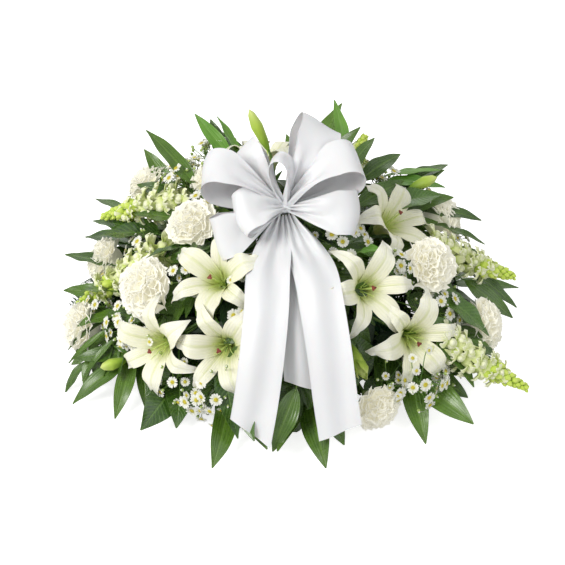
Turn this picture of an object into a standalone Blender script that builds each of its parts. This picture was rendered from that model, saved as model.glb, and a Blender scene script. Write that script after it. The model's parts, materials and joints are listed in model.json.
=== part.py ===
"""A casket spray: white lilies, carnations, snapdragons and small asters over mixed
greens, with a white satin bow and tails, standing in a block of floral foam in a tray.

Metres and degrees. +X is the right-hand end, -Y the front, +Z up, and the origin is the
middle of the tray's flat underside. A direction is a bearing and a rise: bearing 0 faces
the front, 90 the right-hand end, 180 the back, and rise is the angle above the level.
"""

import math
import random
from dataclasses import dataclass

import bpy
import bmesh
from mathutils import Matrix, Vector

# Tray and foam
TRAY_LENGTH, TRAY_DEPTH, TRAY_HEIGHT = 0.356, 0.136, 0.034
TRAY_WALL, TRAY_FLOOR, TRAY_CORNER = 0.0025, 0.0030, 0.012
FIT = 0.0003
FOAM_LENGTH = TRAY_LENGTH - 2 * (TRAY_WALL + FIT)
FOAM_DEPTH = TRAY_DEPTH - 2 * (TRAY_WALL + FIT)
FOAM_BOTTOM = TRAY_FLOOR + FIT
FOAM_TOP = 0.104
FOAM_CHAMFER = 0.014

# How stems stand in the foam
HEART_HEIGHT = 0.062
HEART_SHARE, HEART_LIMIT = 0.50, 0.145
STEM_DEPTH = 0.026
STEM_FREE = 0.010
HOLE_GAP = 0.0005
STEM_SIDES, THIN_SIDES = 4, 3
STEM_RADII = {"lily": (0.0032, 0.0028), "carnation": (0.0024, 0.0022), "snapdragon": (0.0028, 0.0026),
              "aster": (0.0020, 0.0014), "leafy": (0.0025, 0.0017)}

# Ribbon
RIBBON_WIDTH = 0.064
RIBBON_THICK = 0.0010
KNOT = Vector((0.003, -0.030, 0.268))
BOW_RISE = 52.0
KNOT_PROFILE = [(0.006, -0.011), (0.0125, 0.0), (0.0060, 0.012)]
PINCH = 0.004
TAIL_SLANTS = {"bow_tail_left": 0.016, "bow_tail_middle": 0.014, "bow_tail_right": -0.008}

# Stick under the bow
PICK_RADIUS, PICK_CUP, PICK_DEPTH, PICK_FREE = 0.0022, 0.0040, 0.030, 0.020

# Lily
LILY_DEPTH = 0.050
LILY_RADIUS = 0.070
LILY_RING_OUT, LILY_RING_IN = 0.0056, 0.0034
LILY_CUP = 0.30
TEPAL_THICK = 0.0011

# Carnation
CARNATION_RADIUS = 0.036
CARNATION_FRILLS = 12

# Aster
DAISY_RAYS = 6

# Shading and the spiral that florets and heads follow
SMOOTH_ANGLE = 40
GOLDEN_ANGLE = math.radians(137.5)

# Leaves
LEAF_THICK = 0.0009
LEAF_SECTIONS = (0.0, 0.27, 0.66)
CLEARANCE = 0.003
FROND_FIRST = 0.12
FROND_STALK = (0.0014, 0.0008)
SIDE_PAIRS = 4


def heading(bearing, rise):
    """The unit vector of a bearing and a rise."""
    b, r = math.radians(bearing), math.radians(rise)
    return Vector((math.sin(b) * math.cos(r), -math.cos(b) * math.cos(r), math.sin(r)))


def frame(along, hint=Vector((0, 0, 1))):
    """Two unit vectors at right angles to along; the second leans towards hint."""
    if abs(along.dot(hint)) > 0.98:
        hint = Vector((0, 1, 0))
    across = along.cross(hint).normalized()
    return across, across.cross(along).normalized()


def bezier(a, b, c, d, count):
    """count points along a cubic curve, both ends among them."""
    points = []
    for i in range(count):
        t = i / (count - 1)
        s = 1 - t
        points.append(a * s**3 + b * (3 * s * s * t) + c * (3 * s * t * t) + d * t**3)
    return points


@dataclass
class Bloom:
    """A flower head: the middle of its face, the way it faces, its turn and its size."""

    name: str
    at: tuple
    faces: tuple
    spin: float = 0.0
    size: float = 1.0

    def axis(self):
        return heading(*self.faces)

    def base(self, depth):
        return Vector(self.at) - self.axis() * depth * self.size


@dataclass
class Bud:
    """A lily bud: its tip, the way it points, its length and how far it has opened."""

    tip: tuple
    points: tuple
    length: float = 0.055
    opened: bool = False


@dataclass
class LilyStem:
    """A lily stem that forks to its blooms and buds."""

    name: str
    fork: tuple
    blooms: list
    buds: list


@dataclass
class Spike:
    """A snapdragon: where its lowest florets and its tip are."""

    name: str
    low: tuple
    tip: tuple
    florets: int
    buds: int
    seed: int


@dataclass
class Spray:
    """A branched aster spray: the middle of its heads, the way they face, and its width."""

    name: str
    at: tuple
    faces: tuple
    width: float
    heads: int
    seed: int
    buds: int = 1


@dataclass
class Leafy:
    """A leafy stem: where its last leaf springs, the way it runs there, and its leaves."""

    name: str
    kind: str
    tip: tuple
    runs: tuple
    leaves: int
    length: float
    half_width: float
    seed: int


@dataclass
class Frond:
    """A frond that branches off a leafy stem low down: how far up the stem, where its blade
    starts, the way it runs, its length, and the seed of its turns and droop."""

    stem: str
    up: float
    at: tuple
    runs: tuple
    length: float
    seed: int


LILIES = [
    Bloom("lily_1", (-0.100, -0.115, 0.208), (-30, 52), 20),
    Bloom("lily_2", (-0.190, -0.170, 0.118), (-38, 20), 10),
    Bloom("lily_3", (-0.087, -0.200, 0.140), (-14, 28), 0),
    Bloom("lily_4", (0.130, -0.130, 0.198), (32, 38), 10),
    Bloom("lily_5", (0.175, 0.020, 0.212), (66, 48), 36),
    Bloom("lily_6", (0.198, -0.160, 0.125), (24, 28), 0),
    Bloom("lily_7", (-0.025, 0.130, 0.262), (180, 62), 0),
    Bloom("lily_8", (-0.120, 0.185, 0.140), (-150, 30), 15),
]

LILY_STEMS = [
    LilyStem("lily_stem_left", (-0.100, -0.085, 0.110), ["lily_1", "lily_2", "lily_3"],
             [Bud((-0.272, -0.150, 0.060), (-65, 0), 0.042)]),
    LilyStem("lily_stem_front_right", (0.105, -0.080, 0.115), ["lily_4", "lily_6"],
             [Bud((0.118, -0.212, 0.100), (20, -10), 0.066, True)]),
    LilyStem("lily_stem_right", (0.110, 0.025, 0.135), ["lily_5"],
             [Bud((0.240, 0.105, 0.225), (95, 25), 0.048)]),
    LilyStem("lily_stem_top", (-0.015, 0.060, 0.165), ["lily_7"],
             [Bud((-0.082, 0.062, 0.292), (-75, 62), 0.058)]),
    LilyStem("lily_stem_back", (-0.080, 0.085, 0.115), ["lily_8"],
             [Bud((-0.030, 0.220, 0.120), (170, 10), 0.050)]),
]

CARNATIONS = [
    Bloom("carnation_01", (-0.208, -0.095, 0.172), (-48, 42), size=1.10),
    Bloom("carnation_02", (-0.138, -0.006, 0.225), (-50, 60), size=1.00),
    Bloom("carnation_03", (-0.318, -0.055, 0.056), (-82, 12), size=1.02),
    Bloom("carnation_04", (-0.215, 0.150, 0.190), (-125, 40), size=0.92),
    Bloom("carnation_05", (-0.285, 0.040, 0.118), (-92, 26), size=0.90),
    Bloom("carnation_06", (-0.105, 0.105, 0.235), (-150, 62), size=1.00),
    Bloom("carnation_07", (0.258, 0.095, 0.165), (108, 30), size=0.95),
    Bloom("carnation_08", (0.228, -0.052, 0.182), (52, 46), size=1.02),
    Bloom("carnation_09", (0.318, -0.055, 0.060), (80, 14), size=1.05),
    Bloom("carnation_10", (0.140, -0.228, 0.046), (24, 4), size=0.90),
    Bloom("carnation_11", (0.060, 0.190, 0.150), (165, 34), size=1.00),
    Bloom("carnation_12", (0.180, 0.170, 0.095), (145, 18), size=0.96),
]

SPIKES = [
    Spike("snapdragon_1", (-0.165, 0.082, 0.195), (-0.280, 0.080, 0.168), 6, 6, 11),
    Spike("snapdragon_2", (-0.192, -0.025, 0.170), (-0.318, -0.020, 0.072), 6, 6, 90),
    Spike("snapdragon_3", (0.238, 0.015, 0.150), (0.358, 0.005, 0.108), 6, 6, 11),
    Spike("snapdragon_4", (0.245, -0.135, 0.090), (0.362, -0.178, 0.045), 6, 6, 81),
    Spike("snapdragon_5", (0.085, 0.100, 0.205), (0.128, 0.160, 0.262), 6, 5, 79),
]

SPRAYS = [
    Spray("aster_1", (-0.165, 0.120, 0.245), (-120, 60), 0.060, 5, 20),
    Spray("aster_2", (-0.130, 0.045, 0.232), (-60, 66), 0.050, 5, 34),
    Spray("aster_3", (-0.262, -0.105, 0.105), (-60, 25), 0.062, 5, 72),
    Spray("aster_4", (-0.112, -0.240, 0.076), (-25, 10), 0.050, 4, 24),
    Spray("aster_5", (0.100, -0.050, 0.226), (25, 55), 0.056, 5, 53),
    Spray("aster_6", (0.175, 0.100, 0.222), (110, 50), 0.062, 5, 25),
    Spray("aster_7", (0.262, -0.085, 0.120), (58, 32), 0.058, 5, 36),
    Spray("aster_8", (0.225, -0.215, 0.065), (38, 6), 0.054, 5, 14),
]

GREENS = [
    Leafy("palm_front_left", "palm", (-0.078, -0.200, 0.048), (-12, -14), 6, 0.118, 0.019, 26),
    Leafy("palm_front_right", "palm", (0.038, -0.195, 0.045), (10, -12), 7, 0.122, 0.019, 41),
    Leafy("palm_corner_right", "palm", (0.200, -0.155, 0.045), (42, -8), 7, 0.115, 0.020, 31),
    Leafy("palm_right", "palm", (0.262, 0.032, 0.068), (95, -6), 8, 0.118, 0.017, 26),
    Leafy("palm_left", "palm", (-0.235, -0.125, 0.050), (-58, -8), 8, 0.100, 0.014, 89),
    Leafy("palm_top_right", "palm", (0.165, 0.095, 0.170), (122, 30), 7, 0.110, 0.018, 15),
    Leafy("palm_top", "palm", (0.050, 0.140, 0.210), (160, 46), 7, 0.115, 0.017, 36),
    Leafy("palm_back", "palm", (0.040, 0.190, 0.040), (172, -6), 7, 0.105, 0.018, 69),
    Leafy("salal_left", "salal", (-0.235, 0.092, 0.105), (-103, 4), 6, 0.090, 0.024, 9),
    Leafy("salal_corner_left", "salal", (-0.164, -0.180, 0.045), (-37, -10), 6, 0.088, 0.024, 64),
    Leafy("salal_top", "salal", (-0.072, 0.150, 0.205), (-162, 50), 6, 0.095, 0.022, 35),
    Leafy("salal_back", "salal", (-0.130, 0.180, 0.050), (-150, -4), 7, 0.090, 0.025, 26),
    Leafy("fern_left", "fern", (-0.215, 0.060, 0.070), (-98, 4), 3, 0.150, 0.045, 32),
    Leafy("fern_right", "fern", (0.168, 0.122, 0.066), (127, 6), 3, 0.150, 0.045, 12),
]


SIDE_FRONDS = [
    Frond("palm_front_right", 0.006, (0.0, -0.07, 0.151), (0, 3), 0.135, 8),
    Frond("palm_top", 0.006, (0.025, -0.024, 0.166), (33, 10), 0.135, 25),
    Frond("palm_front_left", 0.006, (-0.089, -0.049, 0.151), (-43, 3), 0.135, 14),
    Frond("palm_top_right", 0.006, (0.126, -0.0, 0.151), (90, 3), 0.135, 13),
    Frond("palm_corner_right", 0.006, (0.039, -0.123, 0.087), (7, -6), 0.135, 8),
    Frond("salal_top", 0.006, (-0.049, 0.0, 0.166), (-90, 9), 0.135, 23),
    Frond("fern_right", 0.006, (0.136, 0.075, 0.12), (142, -3), 0.135, 1),
    Frond("palm_back", 0.006, (0.061, 0.12, 0.087), (169, -6), 0.135, 2),
    Frond("salal_back", 0.006, (-0.039, 0.123, 0.087), (-173, -6), 0.135, 19),
    Frond("fern_left", 0.006, (-0.132, 0.101, 0.087), (-153, -6), 0.135, 25),
    Frond("salal_corner_left", 0.006, (-0.061, -0.12, 0.087), (-11, -6), 0.135, 27),
    Frond("palm_right", 0.006, (0.198, -0.06, 0.087), (52, -7), 0.135, 19),
    Frond("fern_left", 0.022, (-0.226, 0.006, 0.087), (-94, -8), 0.135, 24),
    Frond("salal_top", 0.022, (-0.126, 0.0, 0.151), (-90, 3), 0.135, 4),
    Frond("palm_left", 0.006, (-0.208, -0.048, 0.087), (-59, -8), 0.135, 10),
]


def round_point(radius, angle, height):
    """A point at a radius and angle round the Z axis."""
    return Vector((radius * math.cos(angle), radius * math.sin(angle), height))


def loose(points, faces):
    """A mesh's data as one piece, to be fused or shown by itself."""
    return [Vector(p) for p in points], [tuple(f) for f in faces]


def tube(path, radii, sides, pointed=False):
    """A tube along a path, with a radius at each of its points, closed at both ends."""
    points, faces = [], []
    along = (path[1] - path[0]).normalized()
    across, up = frame(along)
    for i, centre in enumerate(path):
        before, after = path[max(i - 1, 0)], path[min(i + 1, len(path) - 1)]
        turned = (after - before).normalized()
        across = (across - turned * across.dot(turned)).normalized()
        up = across.cross(turned)
        if pointed and i == len(path) - 1:
            points.append(centre)
            continue
        for k in range(sides):
            a = math.tau * k / sides
            points.append(centre + (across * math.cos(a) + up * math.sin(a)) * radii[i])
    rings = len(path) - (1 if pointed else 0)
    for i in range(rings - 1):
        for k in range(sides):
            a, b = i * sides + k, i * sides + (k + 1) % sides
            faces += [(a, b, b + sides), (a, b + sides, a + sides)]
    faces.append(tuple(range(sides)))
    last = (rings - 1) * sides
    if pointed:
        faces += [(last + k, last + (k + 1) % sides, len(points) - 1) for k in range(sides)]
    else:
        faces.append(tuple(last + k for k in range(sides)))
    return loose(points, faces)


def thin_blade(sections, tip):
    """A thin leaf or petal: sections of left edge, upper ridge, right edge and lower ridge,
    closed at the tip. Both faces are split alike, so that they never cross."""
    points, faces = [], []
    for section in sections:
        points += section
    for i in range(len(sections) - 1):
        left, top, right, low = (4 * i + k for k in range(4))
        for edge in (left, right):
            for ridge in (top, low):
                faces += [(edge, ridge, ridge + 4), (edge, ridge + 4, edge + 4)]
    last = 4 * (len(sections) - 1)
    points.append(tip)
    faces += [(last + k, last + (k + 1) % 4, len(points) - 1) for k in range(4)]
    faces += [(0, 1, 2), (0, 2, 3)]
    return loose(points, faces)


def leaf_width(kind, t):
    """A leaf's half-width along its length, as a share of its widest."""
    if kind == "palm":
        return math.sin(math.pi * t**0.80) ** 0.85
    return math.sin(math.pi * t**0.62) ** 0.90


def leaf(kind, base, along, face, length, half_width, droop):
    """A leaf blade that springs from base and bends away from its face as it runs."""
    across = along.cross(face).normalized()
    face = across.cross(along).normalized()
    bend = max(math.radians(droop), 0.01) / length
    sections = []
    for t in LEAF_SECTIONS:
        run = t * length
        centre = base + along * (math.sin(bend * run) / bend)
        centre -= face * ((1 - math.cos(bend * run)) / bend)
        normal = face * math.cos(bend * run) + along * math.sin(bend * run)
        wide = max(half_width * leaf_width(kind, t), 0.0012)
        lift = normal * (0.22 * wide)
        thick = normal * (LEAF_THICK / 2)
        sections.append([centre - across * wide + lift, centre + thick,
                         centre + across * wide + lift, centre - thick])
    tip = base + along * (math.sin(bend * length) / bend)
    tip -= face * ((1 - math.cos(bend * length)) / bend)
    return thin_blade(sections, tip)


def arched(base, along, face, bend, run):
    """The point and the upward normal so far along an arc that bends away from its face."""
    normal = face * math.cos(bend * run) + along * math.sin(bend * run)
    centre = base + along * (math.sin(bend * run) / bend)
    centre -= face * ((1 - math.cos(bend * run)) / bend)
    return centre, normal


def fern_frond(base, along, face, length, half_width, droop, pairs=7, foot=None):
    """A fern frond: leaflets cut to the rib in one thin arched blade's outline. Its rib ends
    at the base, or runs on straight to a foot."""
    across = along.cross(face).normalized()
    face = across.cross(along).normalized()
    bend = max(math.radians(droop), 0.01) / length
    points, faces = [], []

    def at(t, side, rise):
        centre, normal = arched(base, along, face, bend, t * length)
        return centre + across * side + normal * rise

    thick = LEAF_THICK / 2
    for i in range(pairs + 1):
        t = FROND_FIRST + 0.80 * i / pairs
        points += [at(t, 0, thick), at(t, 0, -thick)]
        points += [at(t, -0.0016, 0.0002), at(t, 0.0016, 0.0002)]
    tips = len(points)
    for i in range(pairs):
        t = FROND_FIRST + 0.80 * (i + 0.5) / pairs
        wide = half_width * (1 - t) ** 0.75 * min(1.0, 0.55 + 2.2 * t)
        ahead = t + 0.085
        points += [at(ahead, -wide, -0.12 * wide), at(ahead, wide, -0.12 * wide)]
    for i in range(pairs):
        a, b = 4 * i, 4 * (i + 1)
        for side in range(2):
            near, far, out = a + 2 + side, b + 2 + side, tips + 2 * i + side
            for ridge in range(2):
                faces += [(a + ridge, near, out), (a + ridge, out, b + ridge), (b + ridge, out, far)]
    end, root, last = len(points), len(points) + 1, 4 * pairs
    points.append(at(1.0, 0, 0))
    if foot is None:
        points += [at(0.0, 0, thick), at(0.0, -0.0012, 0), at(0.0, 0.0012, 0), at(0.0, 0, -thick)]
    else:
        up = across.cross((at(FROND_FIRST, 0, 0) - foot).normalized())
        wide, thick = FROND_STALK
        points += [foot + up * thick, foot - across * wide, foot + across * wide, foot - up * thick]
    for ridge in (last, last + 1):
        faces += [(ridge, last + 2, end), (ridge, end, last + 3)]
    faces += [(root, root + 1, 2), (root, 2, 0), (root, 0, 3), (root, 3, root + 2)]
    faces += [(root + 3, 2, root + 1), (root + 3, 1, 2), (root + 3, 3, 1), (root + 3, root + 2, 3)]
    faces += [(root, root + 2, root + 3), (root, root + 3, root + 1)]
    return loose(points, faces)


def foam_reach(heart, out):
    """How far the foam's surface is from a point inside it, along a direction."""
    limits = ((FOAM_LENGTH / 2, -FOAM_LENGTH / 2), (FOAM_DEPTH / 2, -FOAM_DEPTH / 2),
              (FOAM_TOP, FOAM_BOTTOM))
    reaches = []
    for value, start, (high, low) in zip(out, heart, limits):
        if abs(value) > 1e-6:
            reaches.append(((high if value > 0 else low) - start) / value)
    return min(reaches)


def heart_of(tip):
    """The point on the foam's middle line that a stem to this tip comes from."""
    along = max(-HEART_LIMIT, min(HEART_LIMIT, tip.x * HEART_SHARE))
    return Vector((along, 0, HEART_HEIGHT))


def stem_path(tip, arrival, count):
    """A stem that stands in the foam: straight to just outside it, then one curve to its tip."""
    heart = heart_of(tip)
    out = (tip - heart).normalized()
    reach = foam_reach(heart, out)
    start, free = heart + out * (reach - STEM_DEPTH), heart + out * (reach + STEM_FREE)
    pull = 0.35 * (tip - free).length
    return [start, *bezier(free, free + out * pull, tip - arrival * pull, tip, count)]


HOLES = []


def note_hole(bottom, top, radius, sides):
    """Notes a plain hole for a stem, wider than it by the same gap at each of its flats."""
    HOLES.append((bottom, top, radius + HOLE_GAP / math.cos(math.pi / sides), sides))


def stem(kind, tip, arrival, count=3, sides=THIN_SIDES):
    """A stem's piece and path. It also notes the hole that the foam needs for it."""
    radius, end_radius = STEM_RADII[kind]
    path = stem_path(tip, arrival, count)
    taper = [0.0] + [i / (len(path) - 2) for i in range(len(path) - 1)]
    radii = [radius + (end_radius - radius) * share for share in taper]
    along = (path[1] - path[0]).normalized()
    note_hole(path[0] - along * HOLE_GAP, path[1] + along * STEM_FREE, radius, sides)
    return tube(path, radii, sides), path


def mesh_object(name, piece):
    """An object with a piece's mesh, its faces pointing out."""
    mesh = bpy.data.meshes.new(name)
    mesh.from_pydata(*[[tuple(p) for p in piece[0]], [], piece[1]])
    work = bmesh.new()
    work.from_mesh(mesh)
    bmesh.ops.recalc_face_normals(work, faces=work.faces)
    if work.calc_volume(signed=True) < 0:
        bmesh.ops.reverse_faces(work, faces=work.faces)
    work.to_mesh(mesh)
    work.free()
    made = bpy.data.objects.new(name, mesh)
    bpy.context.scene.collection.objects.link(made)
    return made


def applied(made):
    """The object with its modifiers applied to its mesh."""
    shown = made.evaluated_get(bpy.context.evaluated_depsgraph_get())
    mesh = bpy.data.meshes.new_from_object(shown)
    old = made.data
    made.modifiers.clear()
    made.data = mesh
    bpy.data.meshes.remove(old)
    return made


def boolean(made, cutters, operation, solver="MANIFOLD"):
    """Joins or cuts an object with a list of others, which are then removed. The exact solver
    is slow on so many thin blades that cross, so the manifold one is used for them."""
    group = bpy.data.collections.new(made.name + "_pieces")
    bpy.context.scene.collection.children.link(group)
    for cutter in cutters:
        bpy.context.scene.collection.objects.unlink(cutter)
        group.objects.link(cutter)
    step = made.modifiers.new("Pieces", "BOOLEAN")
    step.operation, step.operand_type, step.collection = operation, "COLLECTION", group
    step.solver = solver
    applied(made)
    for cutter in cutters:
        bpy.data.objects.remove(cutter)
    bpy.data.collections.remove(group)
    return made


def fused(name, pieces, material):
    """One body made from overlapping pieces, in one material and smooth where it is round."""
    made = mesh_object(name, pieces[0])
    if len(pieces) > 1:
        boolean(made, [mesh_object(f"{name}_piece_{i}", p) for i, p in enumerate(pieces[1:])], "UNION")
    made.data.materials.clear()
    made.data.materials.append(material)
    made.data.shade_smooth()
    made.data.set_sharp_from_angle(angle=math.radians(SMOOTH_ANGLE))
    return made


def finish(name, colour, roughness, metallic=0.0):
    """A plain material."""
    material = bpy.data.materials.new(name)
    material.use_nodes = True
    shader = material.node_tree.nodes["Principled BSDF"]
    shader.inputs["Base Color"].default_value = (*colour, 1.0)
    shader.inputs["Roughness"].default_value = roughness
    shader.inputs["Metallic"].default_value = metallic
    material.diffuse_color = (*colour, 1.0)
    return material


def lily_frame(bloom):
    """The lily's own axes as a matrix: z along the way it faces, from the foot of its ring."""
    axis = bloom.axis()
    across, up = frame(axis)
    turned = Matrix.Rotation(math.radians(bloom.spin), 4, "Z")
    placed = Matrix((across, up, axis)).transposed().to_4x4()
    placed.translation = bloom.base(LILY_DEPTH)
    return placed @ turned @ Matrix.Scale(bloom.size, 4)


def tepal_line(t, outer):
    """Distance from the axis and height of a tepal's rib, t of the way to its tip."""
    radius = LILY_RING_OUT + (LILY_RADIUS - LILY_RING_OUT) * t**1.30
    height = 0.058 * math.sin(min(1.0, t / 0.72) * math.pi / 2)
    height -= (0.030 if outer else 0.022) * max(0.0, t - 0.60) ** 1.3 / 0.40**1.3
    return radius, height


def tepal_section(number, t):
    """Across a tepal of a lily, in its own axes: left edge, upper rib, right edge, lower rib.
    The odd ones of the six are the outer three, which are narrower and curl further back."""
    outer = number % 2
    angle = math.tau * number / 6
    out = Vector((math.cos(angle), math.sin(angle), 0))
    across = Vector((-math.sin(angle), math.cos(angle), 0))
    radius, height = tepal_line(t, outer)
    ahead_radius, ahead_height = tepal_line(t + 0.02, outer)
    run = (out * (ahead_radius - radius) + Vector((0, 0, ahead_height - height))).normalized()
    normal = run.cross(across)
    if normal.dot(Vector((0, 0, 1)) - out) < 0:
        normal = -normal
    share = math.sin(math.pi * (0.30 + 0.70 * (t - LILY_CUP) / (1 - LILY_CUP)) ** 0.95)
    wide = (0.0125 if outer else 0.0170) * share**0.85
    centre = out * radius + Vector((0, 0, height))
    fold = Vector((0, 0, 0.10 * wide)) - out * (0.20 * wide * (1 - t))
    thick = normal * (TEPAL_THICK / 2)
    side = across * wide
    return [centre - side + fold, centre + thick, centre + side + fold, centre - thick]


def lily_bloom(bloom, material):
    """A lily: six tepals that spring from one cup, open at its foot for the stem's neck."""
    points, faces = [], []
    for radius in (LILY_RING_IN, LILY_RING_OUT):
        points += [round_point(radius, math.tau * k / 6, 0.0) for k in range(6)]
    sections = [[tepal_section(k, LILY_CUP + (1 - LILY_CUP) * i / 4) for i in range(4)] for k in range(6)]
    notches = len(points)
    for k in range(6):
        points.append((sections[k][0][2] + sections[(k + 1) % 6][0][0]) / 2)
    for k in range(6):
        after, left, right = (k + 1) % 6, notches + (k - 1) % 6, notches + k
        top, low = len(points), len(points) + 1
        points += [sections[k][0][1], sections[k][0][3]]
        faces += [(k, 6 + k, 6 + after), (k, 6 + after, after)]
        for foot, rib in ((0, top), (6, low)):
            faces += [(foot + k, left, rib), (foot + k, rib, right), (foot + k, right, foot + after)]
        edges = (left, top, right, low)
        for section in sections[k][1:]:
            ahead = tuple(len(points) + i for i in range(4))
            points += section
            for edge in (0, 2):
                for rib in (1, 3):
                    faces.append((edges[edge], edges[rib], ahead[rib]))
                    faces.append((edges[edge], ahead[rib], ahead[edge]))
            edges = ahead
        radius, height = tepal_line(1.0, k % 2)
        points.append(round_point(radius, math.tau * k / 6, height))
        faces += [(edges[i], edges[(i + 1) % 4], len(points) - 1) for i in range(4)]
    return fused(bloom.name, [moved(loose(points, faces), lily_frame(bloom))], material)


def moved(piece, matrix):
    """A piece under a matrix."""
    return [matrix @ p for p in piece[0]], piece[1]


def lily_heart(bloom):
    """The seat under a lily's cup, the neck through it, the pistil and three filaments."""
    rows = [(0.0022, -0.008), (0.0050, -0.0004), (0.0021, -0.0004), (0.0009, 0.050), (0.0028, 0.056),
            (0.0014, 0.060)]
    parts = [lathe(rows, 4)]
    for k in range(3):
        a = math.tau * (k + 0.25) / 3
        out = Vector((math.cos(a), math.sin(a), 0))
        foot = Vector((0, 0, 0.004)) + out * 0.0006
        parts.append(tube([foot, out * 0.017 + Vector((0, 0, 0.044))], [0.0011, 0.0], 3, pointed=True))
    placed = lily_frame(bloom)
    return [moved(p, placed) for p in parts]


def lathe(profile, sides):
    """A turned solid from a profile of radius and height, from its foot to its top."""
    points, faces = [], []
    for radius, height in profile:
        for k in range(sides):
            a = math.tau * k / sides
            points.append(round_point(radius, a, height))
    for i in range(len(profile) - 1):
        for k in range(sides):
            a, b = i * sides + k, i * sides + (k + 1) % sides
            faces += [(a, b, b + sides), (a, b + sides, a + sides)]
    faces.append(tuple(range(sides)))
    faces.append(tuple((len(profile) - 1) * sides + k for k in range(sides)))
    return loose(points, faces)


def lily_bud(bud):
    """A closed or half-opened lily bud, six-sided, with its tips parting if it has opened."""
    axis = heading(*bud.points)
    foot = Vector(bud.tip) - axis * bud.length
    thick = 0.0105 if bud.opened else 0.0088
    shares = [(0.0, 0.25), (0.25, 0.75), (0.60, 1.0), (0.88, 0.62)]
    path = [foot + axis * bud.length * s for s, _ in shares] + [Vector(bud.tip)]
    parts = [tube(path, [thick * w for _, w in shares] + [0], 6, pointed=True)]
    if bud.opened:
        across, up = frame(axis)
        for k in range(3):
            a = math.tau * k / 3
            out = across * math.cos(a) + up * math.sin(a)
            at = foot + axis * bud.length * 0.55 + out * thick * 0.6
            parts.append(leaf("palm", at, (axis + out * 0.50).normalized(), out,
                              bud.length * 0.50, 0.006, 20))
    return parts, foot, axis


def lily_stem(plan, blooms, material):
    """A lily's green parts: the stem, its forks, the seats and pistils of its blooms, buds."""
    fork = Vector(plan.fork)
    run = (fork - heart_of(fork)).normalized()
    pieces = [stem("lily", fork, run, sides=STEM_SIDES)[0]]
    ends = []
    for name in plan.blooms:
        bloom = blooms[name]
        pieces += lily_heart(bloom)
        ends.append((bloom.base(LILY_DEPTH) - bloom.axis() * 0.006 * bloom.size, bloom.axis()))
    for bud in plan.buds:
        parts, foot, axis = lily_bud(bud)
        pieces += parts
        ends.append((foot + axis * 0.004, axis))
    for end, axis in ends:
        pull = 0.38 * (end - fork).length
        line = bezier(fork - run * 0.002, fork + run * pull, end - axis * pull, end, 4)
        pieces.append(tube(line, [0.0025, 0.0023, 0.0022, 0.0022], THIN_SIDES))
    return fused(plan.name, pieces, material)


def carnation_rings(size):
    """A carnation's frilled layers, as rings of radius, height, frill and turn."""
    r = CARNATION_RADIUS
    rows = [(0.24, -0.018, 0.0, 0), (0.95, -0.006, 0.11, 0), (0.68, 0.001, 0.05, 0),
            (0.92, 0.010, 0.11, 1), (0.50, 0.009, 0.05, 1), (0.62, 0.019, 0.11, 2)]
    return [(share * r * size, height * size, frill * r * size, turn)
            for share, height, frill, turn in rows]


def carnation_head(bloom):
    """A carnation's petals in their layers: each layer flares to a pinked, waved rim."""
    n = CARNATION_FRILLS
    rng = random.Random(bloom.name)
    axis = bloom.axis()
    across, up = frame(axis)
    points, faces = [], []
    rings = carnation_rings(bloom.size)
    lobes = rng.choice((4, 5)), rng.uniform(0, math.tau)
    for radius, height, frill, turn in rings:
        for k in range(n):
            a = math.tau * (k + 0.5 * (turn % 2)) / n
            wave = math.sin(lobes[0] * a + lobes[1] + 1.7 * turn)
            pinked = frill * (0.85 if k % 2 else -0.85)
            far = radius + pinked * 0.55 + frill * 0.7 * wave
            high = height + (frill * 0.9 * math.sin(lobes[0] * a + 2.1 * turn) + pinked * 0.35)
            out = across * math.cos(a) + up * math.sin(a)
            points.append(Vector(bloom.at) + out * far + axis * high)
    for i in range(len(rings) - 1):
        for k in range(n):
            a, b = i * n + k, i * n + (k + 1) % n
            faces += [(a, b, b + n), (a, b + n, a + n)]
    points.append(Vector(bloom.at) + axis * 0.016 * bloom.size)
    rim = (len(rings) - 1) * n
    faces += [(rim + k, rim + (k + 1) % n, len(points) - 1) for k in range(n)]
    faces.append(tuple(range(n)))
    return loose(points, faces)


def carnation(bloom, material):
    """A carnation: head, calyx and stem in one body."""
    axis = bloom.axis()
    body, _ = stem("carnation", bloom.base(0.052), axis, 4)
    calyx = tube([bloom.base(depth) for depth in (0.054, 0.044, 0.014)], [0.0030, 0.0062, 0.0080], 4)
    return fused(bloom.name, [carnation_head(bloom), calyx, body], material)


def floret(at, out, up, size):
    """An open snapdragon floret: a throat that flares to two upper and three lower lobes."""
    across = out.cross(up).normalized()
    up = across.cross(out).normalized()
    points = [at]
    for k in range(5):
        a = math.tau * (k + 0.25) / 5
        b = a + math.tau / 10
        far = size * (0.62 if math.sin(b) < 0 else 0.52)
        points.append(at + out * size * 0.42 + (across * math.cos(a) + up * math.sin(a)) * size * 0.34)
        lobe = (across * math.cos(b) + up * math.sin(b)) * far
        points.append(at + out * size * (0.85 + 0.14 * math.sin(b)) + lobe)
    points.append(at + out * size * 0.70)
    faces = []
    for k in range(5):
        mid, lobe = 1 + 2 * k, 2 + 2 * k
        after = 1 + 2 * ((k + 1) % 5)
        faces += [(0, mid, after), (mid, lobe, after), (11, mid, lobe), (11, lobe, after)]
    return loose(points, faces)


def small_bud(at, out, length, thick):
    """A small pointed bud, three-sided."""
    across, up = frame(out)
    waist = at + out * length * 0.55
    points = [at, at + out * length]
    for k in range(3):
        a = math.tau * k / 3
        points.append(waist + (across * math.cos(a) + up * math.sin(a)) * thick)
    faces = []
    for k in range(3):
        a, b = 2 + k, 2 + (k + 1) % 3
        faces += [(0, a, b), (1, a, b)]
    return loose(points, faces)


def along_path(path, t):
    """A point and the direction at a share of a path's length."""
    lengths = [(b - a).length for a, b in zip(path, path[1:])]
    left = t * sum(lengths)
    for (a, b), step in zip(zip(path, path[1:]), lengths):
        if left <= step:
            break
        left -= step
    run = (b - a).normalized()
    return a + run * min(left, step), run


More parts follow.
